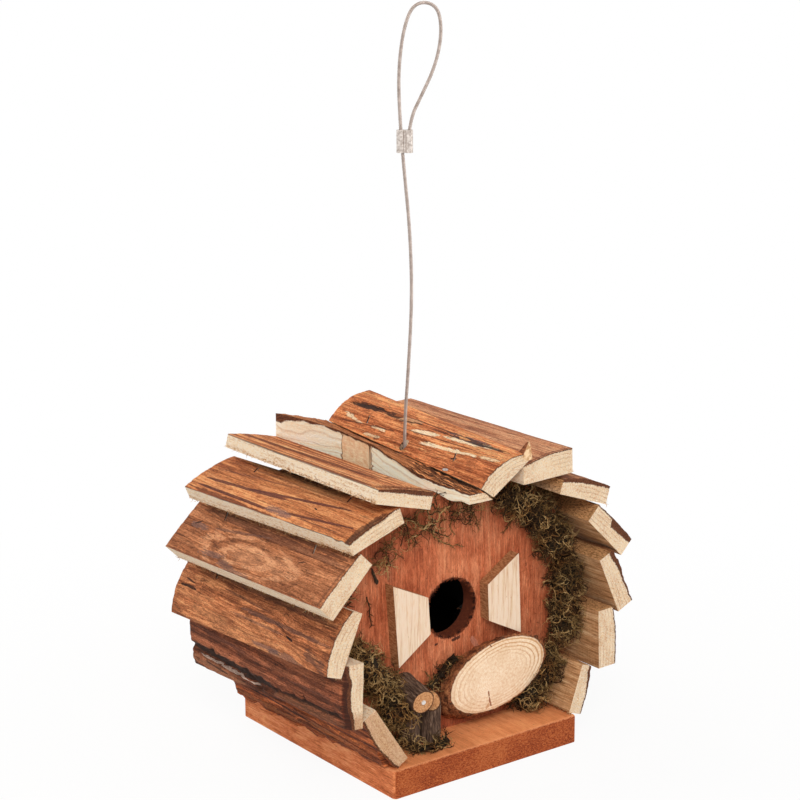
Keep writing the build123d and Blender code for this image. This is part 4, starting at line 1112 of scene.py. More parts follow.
def makeValley():
    look = valleyLook
    bm = cutCopy("slat_valley", boxPlanes(look["mesh"], look["mesh"], look["mesh"]))
    grain = bm.verts.layers.float_vector.new("grain")
    bark = bm.verts.layers.float.new("bark")
    sortValleyFaces(bm)
    corner = []
    for edge in bm.edges:
        if {face.material_index for face in edge.link_faces} == {0, 2}:
            corner += [v.co.copy() for v in edge.verts]
    corner.sort(key=lambda place: place.y)
    bm.normal_update()
    shifts = []
    for v in bm.verts:
        top = cornerAt(corner, v.co.y) / mm
        x, y, z = v.co / mm
        under = top.z - z
        v[grain] = (x - top.x, max(under, 0), y)
        v[bark] = look["bark"] * (1 + 2.0 * smoothShare(y, *look["thickAlong"]))
        lumps = rugged(x * 0.5, y * 0.2, z * 0.5, 0.8, 3)
        if any(face.material_index == 2 for face in v.link_faces):
            ridges = rugged(x * 0.25, y * 0.03, look["seed"])
            frontShare = 1 - smoothShare(y, *look["roughAlong"])
            lift = (ridges * 0.8 + lumps * (0.3 + frontShare)) * look["relief"]
        else:
            lift = lumps * look["sideRelief"]
        below = smoothShare(under, *look["hangUnder"]) * (1 - smoothShare(x - top.x, *look["hangAcross"]))
        below *= look["hang"] * smoothShare(y, *look["hangAlong"])
        above = smoothShare(y, *look["riseAlong"]) * (1 - smoothShare(under, *look["riseUnder"]))
        shifts.append((v.normal * lift + Vector((0, 0, look["rearRise"] * above - below))) * mm)
    for v, shift in zip(bm.verts, shifts):
        v.co += shift
    materials = [valleySideFinish(), endGrain, valleyTopFinish(), sawnInside]
    finishSolid("rough_slat_valley", bm, ["slat_valley"], materials)


makeValley()


# Splintered wood left by the saw: short fibres along the slabs' lower edges, and a spike on the ridge slab

fibreLooks = {
    "slat_left_6": 320, "slat_left_5": 300, "slat_left_4": 140, "slat_left_3": 120, "slat_left_2": 90,
    "slat_ridge": 130, "slat_top_right": 130, "slat_right_5": 70, "slat_right_1": 130,
}
fibreShape = {
    "length": (0.8, 3.9), "radius": (0.10, 0.20), "step": 0.5, "seed": 5, "spread": 1.5, "rooted": 0.3,
    "tones": [(160, 112, 72), (226, 188, 144)],
}
spikeShape = {
    "corner": (21.6, -66.9, 158.8), "width": 7.6, "height": 9.6, "depth": 6.5, "lean": 2.6,
    "tones": [(96, 54, 34), (150, 92, 60)], "grain": (1.6, 0.4, 0.6),
    "pale": [(190, 144, 100), (238, 208, 170)],
}


def randomTurn(rng, x=1, y=1, z=1):
    return Vector((rng.gauss(0, x), rng.gauss(0, y), rng.gauss(0, z)))


def splinterFinish(name, tones):
    return grainyFinish(name, tones, (2, 0.5, 0.5), places=(0.38, 0.6), roughness=0.9, bump=0.05)


def slabFoot(node, along, out):
    # the inner lower edge of a slab, from front to back
    places = [v.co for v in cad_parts[node].data.vertices]
    ends = []
    for y in (min(p.y for p in places), max(p.y for p in places)):
        near = [p for p in places if abs(p.y - y) < 0.1 * mm]
        ends.append(min(near, key=lambda p: p.dot(along) + p.dot(out) * 0.5).copy())
    return ends


def sawFibres():
    look = fibreShape
    rng = random.Random(look["seed"])
    paths = []
    for node, count in fibreLooks.items():
        along, out = slabAxes(slabLooks[node])
        front, back = slabFoot(node, along, out)
        for _ in range(count):
            share = rng.random() ** 1.6
            place = front.lerp(back, share) + out * rng.uniform(0.0, look["spread"]) * mm
            heading = (randomTurn(rng, 0.6, 0.8, 0.6) - along).normalized()
            radius = rng.uniform(*look["radius"])
            length = rng.uniform(*look["length"]) * rng.uniform(0.3, 1.0)
            steps = max(2, round(length / look["step"]))
            place -= heading * look["rooted"] * mm
            path = []
            for i in range(steps + 1):
                path.append((place.copy(), radius * (1 - 0.7 * i / steps)))
                heading = (heading + randomTurn(rng, 0.3, 0.3, 0.3)).normalized()
                place = place + heading * look["step"] * mm
            paths.append(path)
    material = splinterFinish("splintered_wood", look["tones"])
    finishPiece("saw_fibres", strandMesh("saw_fibres", paths), [], [material])


def ridgeSpike():
    look = spikeShape
    bm = bmesh.new()
    bmesh.ops.create_cube(bm, size=1)
    bmesh.ops.subdivide_edges(bm, edges=bm.edges[:], cuts=3, use_grid_fill=True)
    for v in bm.verts:
        rise = v.co.z + 0.5
        narrow = 1 - rise**1.2 * 0.92
        rough = noise.noise(v.co * 4.0) * 0.12 * (1 - rise)
        v.co.x = (v.co.x * narrow + 0.5 + rough) * look["width"] + rise * look["lean"] * 0.6
        v.co.y = (v.co.y * (1 - rise * 0.8) + 0.5 * (1 - rise * 0.8)) * look["depth"]
        v.co.z = rise * look["height"] + v.co.x * 0.12
        v.co = (v.co + Vector(look["corner"])) * mm
    bm.normal_update()
    for face in bm.faces:
        face.material_index = 1 if face.normal.x < -0.3 or face.normal.y > 0.3 else 0
    bark = grainyFinish("torn_bark", look["tones"], (3,), look["grain"])
    finishSolid("ridge_spike", bm, [], [splinterFinish("pale_splinter", look["pale"]), bark])


sawFibres()
ridgeSpike()
print("valley slab and splinters are made")


# Stained boards: base, panels and cover

entrance = {
    "centre": (-2.0, 80.0), "radius": 16.0, "face": -40.4,
    "boreTones": [(62, 28, 18), (128, 66, 40)], "scorched": (92, 44, 28),
}
insideShade = (10, 7, 5)
stainShape = {"dots": (84, 46, 34), "specks": (78, 38, 26), "specksRightOf": (36, 56)}
boardLooks = {
    "base_board": {
        "grain": (1.0, 0.03, 1.0), "mottle": (1.0, 0.25, 1.0),
        "tones": [(170, 89, 50), (214, 125, 78), (236, 158, 108)], "marks": [],
    },
    "front_panel": {
        "grain": (1.0, 1.0, 0.025), "mottle": (1.0, 1.0, 0.35), "inside": (-30.9, -30.6),
        "tones": [(158, 79, 48), (186, 103, 68), (204, 127, 90)],
        "marks": [
            ((-48, 118), (-40, 113), 3.0, (110, 54, 38), 0.4, 14),
            ((-44, 108), (-40, 104), 2.0, (110, 54, 38), 0.4, 14),
            ((-0.6, 62.4), (3.2, 63.0), 0.9, (48, 26, 20), 0.9, 6),
            ((-12.0, 62.3), (-11.2, 62.3), 0.6, (48, 26, 20), 0.9, 3),
            ((12.3, 59.8), (15.0, 55.5), 1.6, (206, 146, 124), 0.5, 3),
            # the next three broad faint marks are painted shade at the panel's sides and top right, under
            # the slabs' eaves
            ((62, 112), (64, 50), 13.0, (160, 84, 54), 0.15, 3),
            ((36, 128), (60, 112), 7.0, (150, 76, 50), 0.3, 5),
            ((-64, 100), (-62, 44), 9.0, (156, 80, 52), 0.25, 3),
            ((-30, 18), (40, 18), 5.0, (140, 72, 48), 0.6, 3),
            ((-6, 100), (-6, 132), 0.5, (226, 160, 118), 0.5, 3),
            ((26, 60), (22, 132), 0.6, (212, 140, 100), 0.5, 3),
            ((-30, 20), (-29, 56), 0.6, (214, 142, 100), 0.5, 3),
            ((-8, 124), (-2, 100), 6.0, (208, 132, 92), 0.3, 4),
        ],
    },
    "back_panel": {
        "grain": (1.0, 1.0, 0.03), "mottle": (1.0, 1.0, 0.35), "inside": (39.5, 39.2),
        "tones": [(150, 78, 48), (188, 110, 70), (208, 136, 98)], "marks": [],
    },
    "hatch_cover": {
        "grain": (1.0, 1.0, 0.04), "mottle": (1.0, 1.0, 0.35),
        "tones": [(156, 84, 52), (194, 116, 76), (212, 142, 104)], "marks": [],
    },
}
baseLook = {
    "end": 68.3, "top": 14.0, "side": 58.6, "sheen": (232, 158, 104), "worn": (226, 154, 108),
    "endTones": [(122, 50, 20), (166, 80, 38), (190, 108, 60)],
}


def stainedFinish(name, look):
    f = Finish(name + "_stain")
    spot = f.place()
    x, y, z = f.split(spot)
    broad = f.streaky(spot, look["grain"], 3, 0.5, 0.14)
    lines = f.streaky(spot, look["grain"], 4, 0.6, 0.7)
    fine = f.streaky(spot, look["grain"], 3, 0.7, 3.0)
    mottle = f.streaky(spot, look["mottle"], 5, 0.7, 0.25)
    grit = f.streaky(spot, look["mottle"], 4, 0.75, 1.6)
    cloud = f.noise(spot, 3, 0.5, 0.035)
    dots = f.noise(spot, 2, 0.6, 0.55)
    tone = broad * 0.16 + lines * 0.14 + fine * 0.16 + cloud * 0.24 + mottle * 0.30
    colour = f.ramp(tone, (0.43, 0.50, 0.57), look["tones"])
    colour = f.marked(colour, x, z, dots * 0.6 + fine * 0.4, look["marks"])
    colour = f.blend(f.step(dots, 0.69, 0.73) * 0.7, colour, stainShape["dots"])
    colour = f.textured(colour, fine * 0.5 + grit * 0.5, 0.45)
    height = lines * 0.3 + fine * 0.4 + grit * 0.3
    if name == "base_board":
        colour, height = baseFaces(f, spot, colour, height)
    if name == "front_panel":
        specks = f.step(grit * 0.5 + dots * 0.5, 0.58, 0.62) * f.step(x, *stainShape["specksRightOf"])
        colour = f.blend(specks * 0.6, colour, stainShape["specks"])
        colour = boreDark(f, x, y, z, dots * 0.5 + fine * 0.5, colour)
    # painted shade on the panels' inner faces, inside the house
    if "inside" in look:
        colour = f.blend(f.step(y, *look["inside"]), colour, insideShade)
    return f.close(colour, 0.62 + fine * 0.2, height, 0.35)


def baseFaces(f, spot, colour, height):
    # speckled end grain on the two ends, paler worn edges, and a painted sheen that makes the top face
    # paler
    look = baseLook
    x, y, z = f.split(spot)
    fleck = f.streaky(spot, (0.8, 0.2, 1.6), 3, 0.75)
    cloud = f.noise(spot, scale=0.05)
    rough = (fleck - 0.5) * 1.6
    # painted sheen: the top face turns paler
    colour = f.blend(f.step(z, look["top"] + 0.5, look["top"] + 0.9) * 0.45, colour, look["sheen"])
    ends = f.step(abs(y), look["end"], look["end"] + 0.5)
    endGrainTone = f.ramp(fleck * 0.75 + cloud * 0.25, (0.40, 0.50, 0.60), look["endTones"])
    colour = f.blend(ends, colour, endGrainTone)
    atTop = f.step(z + rough, look["top"], look["top"] + 0.8)
    atEnd = f.step(abs(y) + rough, look["end"] - 0.4, look["end"] + 0.4)
    atSide = f.step(abs(x) + rough, look["side"], look["side"] + 0.8)
    worn = atTop * (atEnd + atSide).maths("MINIMUM", 1.0) * 0.6
    return f.blend(worn, colour, look["worn"]), height * (1 - ends) + fleck * ends * 1.5


def boreDark(f, x, y, z, ragged, colour):
    # the entrance's bore, and the scorched ragged rim round it
    right = x - entrance["centre"][0]
    up = z - entrance["centre"][1]
    away = (right * right + up * up) ** 0.5
    face, radius = entrance["face"], entrance["radius"]
    bore = f.step(y, face + 0.15, face + 0.5) * f.step(away, radius + 0.6, radius + 0.3)
    colour = f.blend(bore, colour, f.ramp(ragged, (0.40, 0.60), entrance["boreTones"]))
    rim = f.step(away + (ragged - 0.5) * 5, radius + 1.0, radius)
    return f.blend(rim * 0.85, colour, entrance["scorched"])


def wear(node, material):
    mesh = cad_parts[node].data
    mesh.materials.clear()
    mesh.materials.append(material)


for node, look in boardLooks.items():
    wear(node, stainedFinish(node, look))


# Batten inside the house: plain softwood

battenLook = {"tones": [(186, 146, 104), (224, 190, 148)], "grain": (1.0, 0.06, 1.0)}

plainWood = grainyFinish(
    "plain_softwood", battenLook["tones"], (4, 0.5, 0.5), battenLook["grain"], roughness=0.8, bump=0.2,
)
wear("ridge_batten", plainWood)


# Entrance rim: short dark fibres that the drill tore round the hole

rimFibres = {
    "count": 620, "length": (0.6, 2.6), "radius": (0.12, 0.30), "seed": 11, "rooted": 0.3,
    "offBore": (-0.1, 0.25), "behindFace": (-0.05, 0.9), "tones": [(52, 24, 16), (136, 70, 42)],
}


def entranceFibres():
    rng = random.Random(rimFibres["seed"])
    x, z = entrance["centre"]
    paths = []
    for _ in range(rimFibres["count"]):
        angle = rng.uniform(0, math.tau)
        radius = entrance["radius"] + rng.uniform(*rimFibres["offBore"])
        y = entrance["face"] + rng.uniform(*rimFibres["behindFace"])
        place = Vector((x + math.cos(angle) * radius, y, z + math.sin(angle) * radius))
        inwards = Vector((-math.cos(angle), rng.uniform(-0.25, 0.4), -math.sin(angle)))
        heading = (inwards + Vector((rng.gauss(0, 0.5), 0, rng.gauss(0, 0.5)))).normalized()
        length = rng.uniform(*rimFibres["length"]) * rng.uniform(0.4, 1.0)
        thick = rng.uniform(*rimFibres["radius"])
        start = place - heading * rimFibres["rooted"]
        middle = place + heading * length * 0.5 + Vector((rng.gauss(0, 0.12), 0, rng.gauss(0, 0.12)))
        tip = place + heading * length
        paths.append([(start * mm, thick), (middle * mm, thick * 0.8), (tip * mm, thick * 0.2)])
    scorched = grainyFinish(
        "scorched_fibre", rimFibres["tones"], (2, 0.5, 0.4), places=(0.4, 0.62), roughness=0.9, bump=0.05,
    )
    mesh = strandMesh("entrance_fibres", paths)
    finishPiece("entrance_fibres", mesh, [], [scorched])


entranceFibres()


# Shutters: pale faces with a few growth lines, and brown sawn sides

shutterLook = {
    "face": -47.4, "pale": (234, 214, 194), "line": (204, 166, 124), "specks": (160, 116, 78),
    "side": [(132, 86, 54), (182, 132, 92)],
}


def shutterFinish():
    f = Finish("shutter_softwood")
    spot = f.place()
    _, y, _ = f.split(spot)
    lines = f.streaky(spot, (1.0, 0.3, 0.035), 2, 0.5, 0.22)
    soft = f.streaky(spot, (1.0, 0.3, 0.06), 2, 0.5, 0.5)
    fine = f.streaky(spot, (1.0, 1.0, 0.08), 3, 0.7, 2.4)
    specks = f.streaky(spot, (1.0, 1.0, 0.35), 2, 0.5, 0.8)
    rough = f.streaky(spot, (1.0, 0.3, 1.0), 3, 0.7, 1.3)
    ring = (lines * 5).maths("PINGPONG", 0.5)
    colour = shutterLook["pale"]
    shares = (f.step(ring, 0.36, 0.5) * 0.5, f.step(soft, 0.5, 0.7) * 0.4, f.step(fine, 0.45, 0.65) * 0.35)
    for share in shares:
        colour = f.blend(share, colour, shutterLook["line"])
    colour = f.textured(colour, fine, 0.25)
    colour = f.blend(f.step(specks, 0.70, 0.74) * 0.6, colour, shutterLook["specks"])
    side = f.step(y, shutterLook["face"] + 0.12, shutterLook["face"] + 0.35)
    colour = f.blend(side, colour, f.ramp(rough, (0.38, 0.62), shutterLook["side"]))
    return f.close(colour, 0.7 + fine * 0.15, fine * 0.6 + lines * 0.4 + rough * side, 0.2)


shutterWood = shutterFinish()
for node in ("shutter_left", "shutter_right"):
    wear(node, shutterWood)
print("boards and shutters are stained")


# Metal trim: tones, roughness, metal share and the nodes that wear it

metalLooks = {
    "dull_zinc": {
        "tones": [(128, 120, 112), (206, 202, 198)], "roughness": 0.3, "metal": 0.8,
        "nodes": ["base_brads", "staples_front", "staples_back", "hatch_screw", "stop_washer"],
    },
    "crimped_sleeve": {
        "tones": [(176, 164, 156), (226, 218, 212)], "roughness": 0.3, "metal": 0.7,
        "nodes": ["loop_ferrule", "stop_ferrule"],
    },
    "pale_nail": {
        "tones": [(208, 204, 200), (240, 238, 236)], "roughness": 0.35, "metal": 0.4,
        "nodes": ["perch_nail"],
    },
}


def metalFinish(name, look):
    f = Finish(name)
    cloud = f.noise(f.place(), 4, 0.5, 0.8)
    colour = f.ramp(cloud, (0.35, 0.65), look["tones"])
    return f.close(colour, look["roughness"] + cloud * 0.2, cloud, 0.06, look["metal"])


for name, look in metalLooks.items():
    metal = metalFinish(name, look)
    for node in look["nodes"]:
        wear(node, metal)


# Plaque: a slanting slice of a branch with growth rings inside a thin bark rim

plaqueLook = {
    "tilt": 10.5, "centre": (21.4, 41.3), "half": (33.7, 19.3), "face": -50.4, "wall": 1.1,
    "pith": (3.0, -2.6), "slant": (-2.0, -4.6), "thick": 10.0, "rim": 0.938, "mesh": (1.2, 1.3, 1.3),
    "faceRelief": (0.5, 0.06), "cracks": 2, "crackDepth": 0.4, "pale": [(232, 204, 172), (248, 228, 202)],
    "ring": (202, 152, 102), "barkTones": [(66, 38, 24), (126, 74, 46), (176, 116, 76)],
    "marks": [
        ((-7.8, -8.0), (-7.4, -16.6), 0.5, (142, 84, 52), 0.9, 8),
        ((-8.4, -14.0), (-10.6, -15.4), 0.7, (196, 140, 96), 0.7, 6),
        ((-2.2, 18.0), (-1.4, 16.6), 0.3, (110, 60, 40), 0.9, 1),
    ],
}


def plaqueFinish():
    f = Finish("branch_slice")
    grain = f.grain()
    u, y, v = f.split(grain)
    a, b = plaqueLook["half"]
    flat = f.point(u, 1.0, v)
    rough = f.streaky(flat, (0.35, 1.0, 0.35), 3)
    turn = f.streaky(flat, (0.05, 2.0, 0.05))
    fine = f.streaky(flat, (0.7, 3.0, 0.7), 5, 0.7)
    cloud = f.streaky(flat, (0.07, 4.0, 0.07))
    ridges = f.streaky(grain, (0.25, 0.3, 0.25), 5, 0.65)
    grit = f.streaky(grain, (1.2, 1.2, 1.2), 3)
    reach = (u * u * (1 / a**2) + v * v * (1 / b**2)) ** 0.5
    inner = (1 - reach).maths("MAXIMUM", 0.0)
    du = u - inner * plaqueLook["pith"][0]
    dv = v - inner * plaqueLook["pith"][1]
    ringed = (du * du * (1 / a**2) + dv * dv * (1 / b**2)) ** 0.5 + (turn - 0.5) * 0.12
    wave = (ringed * 11.5 + rough * 0.5).maths("PINGPONG", 0.5) * 2
    fineWave = (ringed * 31 + rough * 0.5).maths("PINGPONG", 0.5) * 2
    strength = f.step(reach, 0.40, 0.80) * (f.step(u * 0.6 + v, -2, 16) * 0.5 + 0.45)  # clear at the right
    colour = f.ramp(cloud * 0.5 + fine * 0.5, (0.40, 0.58), plaqueLook["pale"])
    coarse = f.step(wave, 0.45, 0.95) * strength
    for share in (coarse, f.step(fineWave, 0.5, 1.0) * 0.28, f.step(reach, 0.86, 0.95) * 0.35):
        colour = f.blend(share, colour, plaqueLook["ring"])
    colour = f.textured(colour, fine, 0.15)
    colour = f.marked(colour, u, v, rough, plaqueLook["marks"])
    behind = f.step(y, plaqueLook["face"] + 0.25, plaqueLook["face"] + 0.6)
    edge = f.step(reach + (rough - 0.5) * 0.05, plaqueLook["rim"] - 0.008, plaqueLook["rim"] + 0.008)
    bark = f.ramp(ridges * 0.6 + grit * 0.4, (0.40, 0.50, 0.62), plaqueLook["barkTones"])
    share = (behind + edge).maths("MINIMUM", 1.0)
    height = fine * 0.2 * (1 - share) + ridges * share * 2
    return f.close(f.blend(share, colour, bark), 0.75, height, 0.5)


def makePlaque():
    look = plaqueLook
    tilt = math.radians(look["tilt"])
    bm = cutCopy("plaque", boxPlanes(*look["mesh"]))
    grain = bm.verts.layers.float_vector.new("grain")
    centre = look["centre"]
    a, b = look["half"]
    uAxis = Vector((math.cos(tilt), 0, math.sin(tilt)))
    vAxis = Vector((-math.sin(tilt), 0, math.cos(tilt)))
    for vert in bm.verts:
        x, y, z = vert.co / mm
        slant = (y - look["face"]) / look["thick"]
        flat = Vector((x - centre[0], 0, z - centre[1]))
        u, v = flat.dot(uAxis), flat.dot(vAxis)
        level = flat - Vector((look["slant"][0], 0, look["slant"][1])) * slant
        edge = math.hypot(level.dot(uAxis) / a, level.dot(vAxis) / b)
        rough = rugged(x * 0.18, y * 0.3, z * 0.18)
        away = uAxis * (u / a**2) + vAxis * (v / b**2)
        if away.length > 0:
            push = smoothShare(edge, 0.93, 1.0) * look["wall"] * (rough - 0.25)
            vert.co += away.normalized() * push * mm
        if y < look["face"] + 0.1:
            rounded, uneven = look["faceRelief"]
            vert.co.y += (rounded * smoothShare(edge, 0.965, 1.0) + uneven * rough) * mm
            for mark in look["marks"][:look["cracks"]]:  # the first marks are drying cracks
                vert.co.y += look["crackDepth"] * markShare(u, v, mark, 0) * mm
        vert[grain] = (u, y, v)
    finishSolid("branch_slice_plaque", bm, ["plaque"], [plaqueFinish()])


makePlaque()


# Twigs: perch and posts with ribbed bark and tan sawn ends

twigLooks = {
    "perch_twig": {
        "start": (-33.0, -40.4, 45.6), "end": (-34.48, -59.2, 42.27), "radius": 6.4, "seed": 1.0,
    },
    "post_twig_low": {
        "start": (-33.0, -46.0, 15.0), "end": (-33.0, -46.0, 40.0), "radius": 5.4, "seed": 2.0,
    },
    "post_twig_tall": {
        "start": (-22.3, -49.2, 15.0), "end": (-22.3, -49.2, 40.5), "radius": 5.4, "seed": 3.0,
    },
}
twigShape = {
    "rib": 0.4, "lump": 0.35, "mesh": 1.0, "barkThick": 0.55,
    "bark": [(46, 34, 28), (88, 68, 56), (134, 110, 94)], "rim": (72, 46, 32),
    "end": [(176, 120, 78), (218, 168, 120)], "ring": (160, 104, 66),
}


def twigBarkFinish():
    f = Finish("twig_bark")
    grain = f.grain()
    ribs = f.streaky(grain, (0.9, 1.0, 0.10), 4, 0.6)
    fine = f.streaky(grain, (2.5, 1.0, 0.5), 3)
    colour = f.ramp(ribs * 0.65 + fine * 0.35, (0.38, 0.50, 0.62), twigShape["bark"])
    return f.close(colour, 0.85, ribs, 1.0)


def twigEndFinish():
    f = Finish("twig_end")
    _, depth, _ = f.split(f.grain())
    ring = f.step((depth * 0.8).maths("PINGPONG", 0.5) * 2, 0.5, 1.0)
    fine = f.streaky(f.place(), (1.2, 0.4, 1.2), 3, 0.7)
    colour = f.ramp(fine, (0.38, 0.6), twigShape["end"])
    colour = f.blend(ring * 0.3, colour, twigShape["ring"])
    edge = f.step(depth + (fine - 0.5) * 0.8, twigShape["barkThick"] + 0.15, twigShape["barkThick"] - 0.15)
    return f.close(f.blend(edge, colour, twigShape["rim"]), 0.75, fine, 0.25)


twigBark = twigBarkFinish()
twigEnd = twigEndFinish()


def makeTwig(node, look):
    start, end = Vector(look["start"]) * mm, Vector(look["end"]) * mm
    heading = (end - start).normalized()
    side = heading.orthogonal().normalized()
    across = heading.cross(side)
    bm = cutCopy(node, [(axis, twigShape["mesh"]) for axis in (heading, side, across)])
    grain = bm.verts.layers.float_vector.new("grain")
    for face in bm.faces:
        face.material_index = 1 if abs(face.normal.dot(heading)) > 0.5 else 0
    for v in bm.verts:
        arm = v.co - start
        along = arm.dot(heading)
        arm -= heading * along
        along = along / mm
        radius = arm.length / mm
        angle = math.atan2(arm.dot(across), arm.dot(side))
        x, y = math.cos(angle) * look["radius"], math.sin(angle) * look["radius"]
        if radius > look["radius"] * 0.9:
            rib = rugged(x * 0.6, y * 0.6, along * 0.08 + look["seed"], octaves=3)
            lump = noise.noise(Vector((x * 0.1, y * 0.1, along * 0.12 + look["seed"])))
            v.co += arm.normalized() * (rib * twigShape["rib"] + lump * twigShape["lump"]) * mm
        v[grain] = (angle * look["radius"], max(look["radius"] - radius, 0), along)
    finishSolid("bark_" + node, bm, [node], [twigBark, twigEnd])


for node, look in twigLooks.items():
    makeTwig(node, look)
print("plaque and twigs are barked")


# Moss: curly branching sprigs that grow out of each clump's own surface, over a dark lumpy core whose
# near-black colour is painted shade

mossLooks = {
    "moss_top_left": {"sprigs": 150, "length": (5, 14), "core": 0.0, "spread": 6.0, "flat": 0.5},
    "moss_shoulder": {"sprigs": 429, "length": (6, 15), "core": 0.75, "spread": 4.0, "flat": 0.0},
    "moss_right": {"sprigs": 429, "length": (6, 15), "core": 0.75, "spread": 4.0, "flat": 0.0},
    "moss_corner": {"sprigs": 364, "length": (6, 14), "core": 0.75, "spread": 4.0, "flat": 0.0},
    "moss_side": {"sprigs": 55, "length": (4, 10), "core": 0.0, "spread": 4.0, "flat": 0.4},
    "moss_left": {
        "sprigs": 390, "kinds": (0.18, 0.42, 0.4), "length": (6, 14), "core": 0.7, "spread": 4.5,
        "flat": 0.0,
    },
    "moss_plaque": {"sprigs": 50, "length": (3, 7), "core": 0.5, "spread": 2.5, "flat": 0.3},
    "moss_foot": {"sprigs": 150, "length": (3, 8), "core": 0.65, "spread": 3.0, "flat": 0.3},
}
mossShape = {
    "kinds": (0.46, 0.34, 0.20), "step": 1.15, "radius": (0.20, 0.40), "curl": 38.0,
    "twigShare": 0.62, "twigRadius": 0.75, "twigThinnest": 0.12, "twigSteps": (2, 4), "twigStep": 0.85,
    "panelFace": -40.4, "boardTop": 15.0, "offPanel": 0.4, "offBoard": 0.3, "rooted": (0.3, 2.5),
    "coreShrink": 8, "coreEdge": 2.5, "coreLump": 1.2, "coreOffPanel": 0.1,
}
mossTones = {
    "moss_dark": {
        "tones": [(26, 17, 8), (54, 37, 20), (92, 66, 36)],
        "tints": [((50, 44, 28), 0.3), ((72, 44, 20), 0.4)],
    },
    "moss_olive": {
        "tones": [(58, 41, 21), (106, 79, 44), (158, 126, 78)],
        "tints": [((90, 74, 42), 0.3), ((126, 80, 40), 0.45)],
    },
    "moss_straw": {
        "tones": [(126, 95, 57), (180, 146, 96), (212, 180, 128)],
        "tints": [((152, 132, 92), 0.3), ((172, 126, 72), 0.4)],
    },
    # the core's near-black tones are painted shade deep inside each clump
    "moss_core": {
        "tones": [(14, 9, 5), (34, 24, 13), (58, 42, 24)],
        "tints": [((28, 26, 16), 0.5), ((42, 26, 12), 0.5)],
    },
}
wisps = [
    [
        (-34.6, -42.2, 135), (-26, -42.8, 130.5), (-19, -43, 125.5), (-13.5, -42.4, 120.5),
        (-9, -42.2, 117), (-2, -42, 114), (5.7, -42, 111.8),
    ],
    [(-22, -42.4, 127.8), (-15, -43, 124), (-9, -42.6, 121.2), (-4, -42.4, 118.6)],
    [(2, -43, 137), (7.5, -42.6, 132.6), (12, -42.2, 127.8), (14, -42, 123), (14.4, -42, 119.6)],
    [(-48, -42.4, 122), (-44, -42.6, 117), (-42, -42.2, 111)],
    [(-57, -42.6, 98), (-55, -42.4, 92), (-54.5, -42, 86), (-53, -41.8, 80)],
    [(38, -42.6, 122), (34, -42.4, 117), (30, -42.2, 114)],
    [(-4, -42.6, 45), (0, -43.2, 48.5), (4.5, -43, 51.5)],
]
wispShape = {"seed": 77, "radius": 0.42, "steps": 4, "shake": 0.25}
sliver = [
    ((-53.0, -41.6, 112.1), 0.35), ((-52.4, -41.8, 109.6), 0.8), ((-51.2, -41.9, 106.6), 0.75),
    ((-50.2, -41.8, 104.6), 1.15), ((-49.8, -41.6, 103.2), 0.5),
]
sliverTones = [(30, 24, 18), (74, 58, 42)]


def mossFinish(name, look):
    f = Finish(name)
    spot = f.place()
    clumps = f.noise(spot, 2, 0.5, 0.10)
    strands = f.noise(spot, 3, 0.7, 0.8)
    colour = f.ramp(clumps * 0.3 + strands * 0.7, (0.38, 0.50, 0.60), look["tones"])
    for end, (tint, strength) in zip((0.60, 0.40), look["tints"]):
        colour = f.blend(f.step(clumps, 0.50, end) * strength, colour, tint)
    return f.close(colour, 0.85, strands, 0.1)


*mossStrands, mossCoreShade = [mossFinish(name, look) for name, look in mossTones.items()]


def keepOff(place, heading):
    # moss lies on the panel and the base board, and not in them
    behind = (mossShape["panelFace"] - mossShape["offPanel"]) * mm
    lowest = (mossShape["boardTop"] + mossShape["offBoard"]) * mm
    if place.y > behind and place.z > mossShape["boardTop"] * mm:
        place.y = behind
        heading.y = -abs(heading.y) * 0.5
    if place.z < lowest:
        place.z = lowest
        heading.z = abs(heading.z) * 0.5


def mossStem(rng, start, heading, length, tree, look):
    radius = rng.uniform(*mossShape["radius"])
    axis = randomTurn(rng).normalized()
    place, path = start.copy(), []
    count = max(3, round(length / mossShape["step"]))
    for i in range(count + 1):
        path.append((place.copy(), radius * (1 - 0.7 * i / count)))
        axis = (axis + randomTurn(rng) * 0.4).normalized()
        turn = math.radians(mossShape["curl"] * rng.uniform(0.2, 1.4))
        heading = Matrix.Rotation(turn, 3, axis) @ heading
        heading.y *= 1 - look["flat"] * 0.6
        surface, _, _, gap = tree.find_nearest(place)
        if gap > look["spread"] * mm:
            heading = (heading + (surface - place).normalized() * 0.8).normalized()
        place = place + heading.normalized() * mossShape["step"] * mm
        keepOff(place, heading)
    return path


def sideTwigs(rng, stem):
    paths = []
    for (before, _), (place, radius) in zip(stem, stem[1:]):
        if rng.random() > mossShape["twigShare"]:
            continue
        ahead = (place - before).normalized()
        heading = (ahead + randomTurn(rng).cross(ahead).normalized() * rng.uniform(0.7, 1.5)).normalized()
        thick = max(radius * mossShape["twigRadius"], mossShape["twigThinnest"])
        count = rng.randint(*mossShape["twigSteps"])
        twig = []
        for i in range(count + 1):
            twig.append((place.copy(), thick * (1 - 0.5 * i / count)))
            heading = (heading + randomTurn(rng) * 0.25).normalized()
            place = place + heading * mossShape["twigStep"] * mm
            keepOff(place, heading)
        paths.append(twig)
    return paths


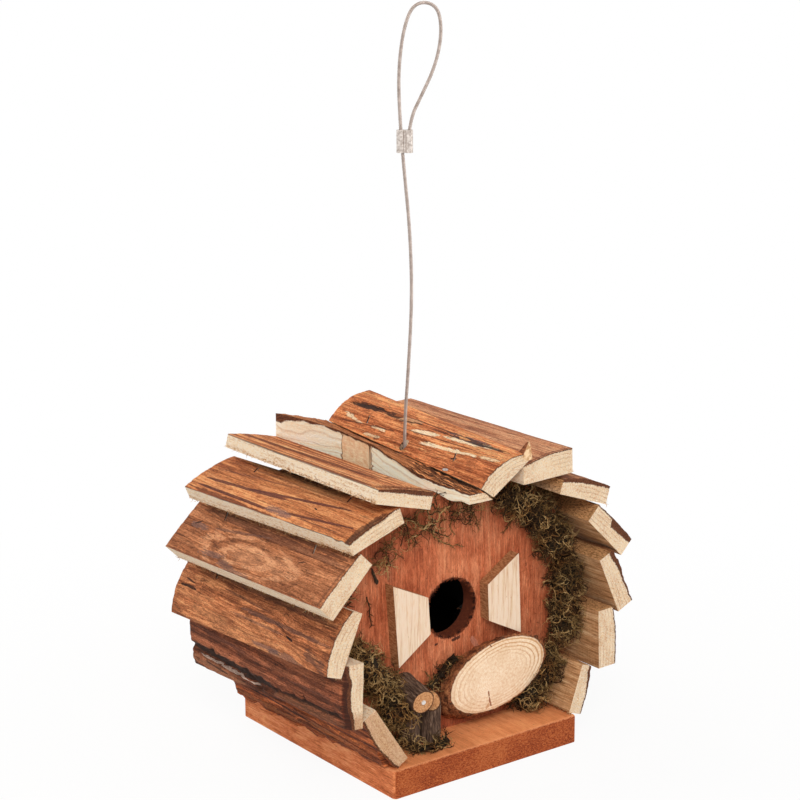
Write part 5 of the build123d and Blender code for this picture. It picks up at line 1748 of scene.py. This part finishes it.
def growMoss(node, look, seed):
    rng = random.Random(seed)
    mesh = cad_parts[node].data
    mesh.calc_loop_triangles()
    triangles = [t for t in mesh.loop_triangles if t.normal.y < 0.6]
    weights = [t.area for t in triangles]
    tree = BVHTree.FromPolygons([v.co for v in mesh.vertices], [t.vertices for t in mesh.loop_triangles])
    paths, kinds = [], []
    for triangle in rng.choices(triangles, weights, k=look["sprigs"]):
        corners = [mesh.vertices[i].co for i in triangle.vertices]
        u, v = sorted((rng.random(), rng.random()))
        spot = corners[0] * u + corners[1] * (v - u) + corners[2] * (1 - v)
        normal = Vector(triangle.normal)
        heading = (normal * 0.5 + randomTurn(rng)).normalized()
        start = spot - normal * rng.uniform(*mossShape["rooted"]) * mm
        stem = mossStem(rng, start, heading, rng.uniform(*look["length"]), tree, look)
        sprig = [stem] + sideTwigs(rng, stem)
        paths += sprig
        kinds += rng.choices((0, 1, 2), look.get("kinds", mossShape["kinds"])) * len(sprig)
    name = "curls_" + node
    finishPiece(name, strandMesh(name, paths, kinds=kinds), [node], mossStrands)
    if look["core"]:
        makeCore(node, look, seed)


def makeCore(node, look, seed):
    bm = mergedCopy(node)
    longest = mossShape["coreEdge"] * mm
    bmesh.ops.subdivide_edges(bm, edges=[e for e in bm.edges if e.calc_length() > longest], cuts=1)
    bm.normal_update()
    shrink = (1 - look["core"]) * mossShape["coreShrink"]
    normals = [v.normal.copy() for v in bm.verts]
    for v, normal in zip(bm.verts, normals):
        lump = rugged(*(v.co / mm * 0.35 + Vector((seed, 0, 0))), octaves=3)
        v.co += normal * (lump * mossShape["coreLump"] - shrink) * mm
        v.co.y = min(v.co.y, (mossShape["panelFace"] - mossShape["coreOffPanel"]) * mm)
    finishSolid("core_" + node, bm, [], [mossCoreShade])


def looseWisps():
    # single sprigs that hang over the panel
    rng = random.Random(wispShape["seed"])
    steps = wispShape["steps"]
    paths = []
    for route in wisps:
        stem = []
        for start, end in zip(route, route[1:]):
            for i in range(steps):
                place = Vector(start).lerp(Vector(end), i / steps) + randomTurn(rng) * wispShape["shake"]
                thinner = 1 - 0.5 * len(stem) / (len(route) * steps)
                stem.append((place * mm, wispShape["radius"] * thinner))
        paths.append(stem)
        paths += sideTwigs(rng, stem) + sideTwigs(rng, stem)
    kinds = [rng.choice((0, 1)) for _ in paths]
    mesh = strandMesh("loose_sprigs", paths, kinds=kinds)
    finishPiece("loose_sprigs", mesh, [], mossStrands[:2])


def darkSliver():
    mesh = strandMesh("bark_sliver", [[(Vector(place) * mm, radius) for place, radius in sliver]], sides=2)
    dark = grainyFinish("dark_bark", sliverTones, (3, 0.5, 0.8))
    finishPiece("bark_sliver", mesh, [], [dark])


for seed, (node, look) in enumerate(mossLooks.items(), 1):
    growMoss(node, look, seed)
looseWisps()
darkSliver()
print("moss is grown")
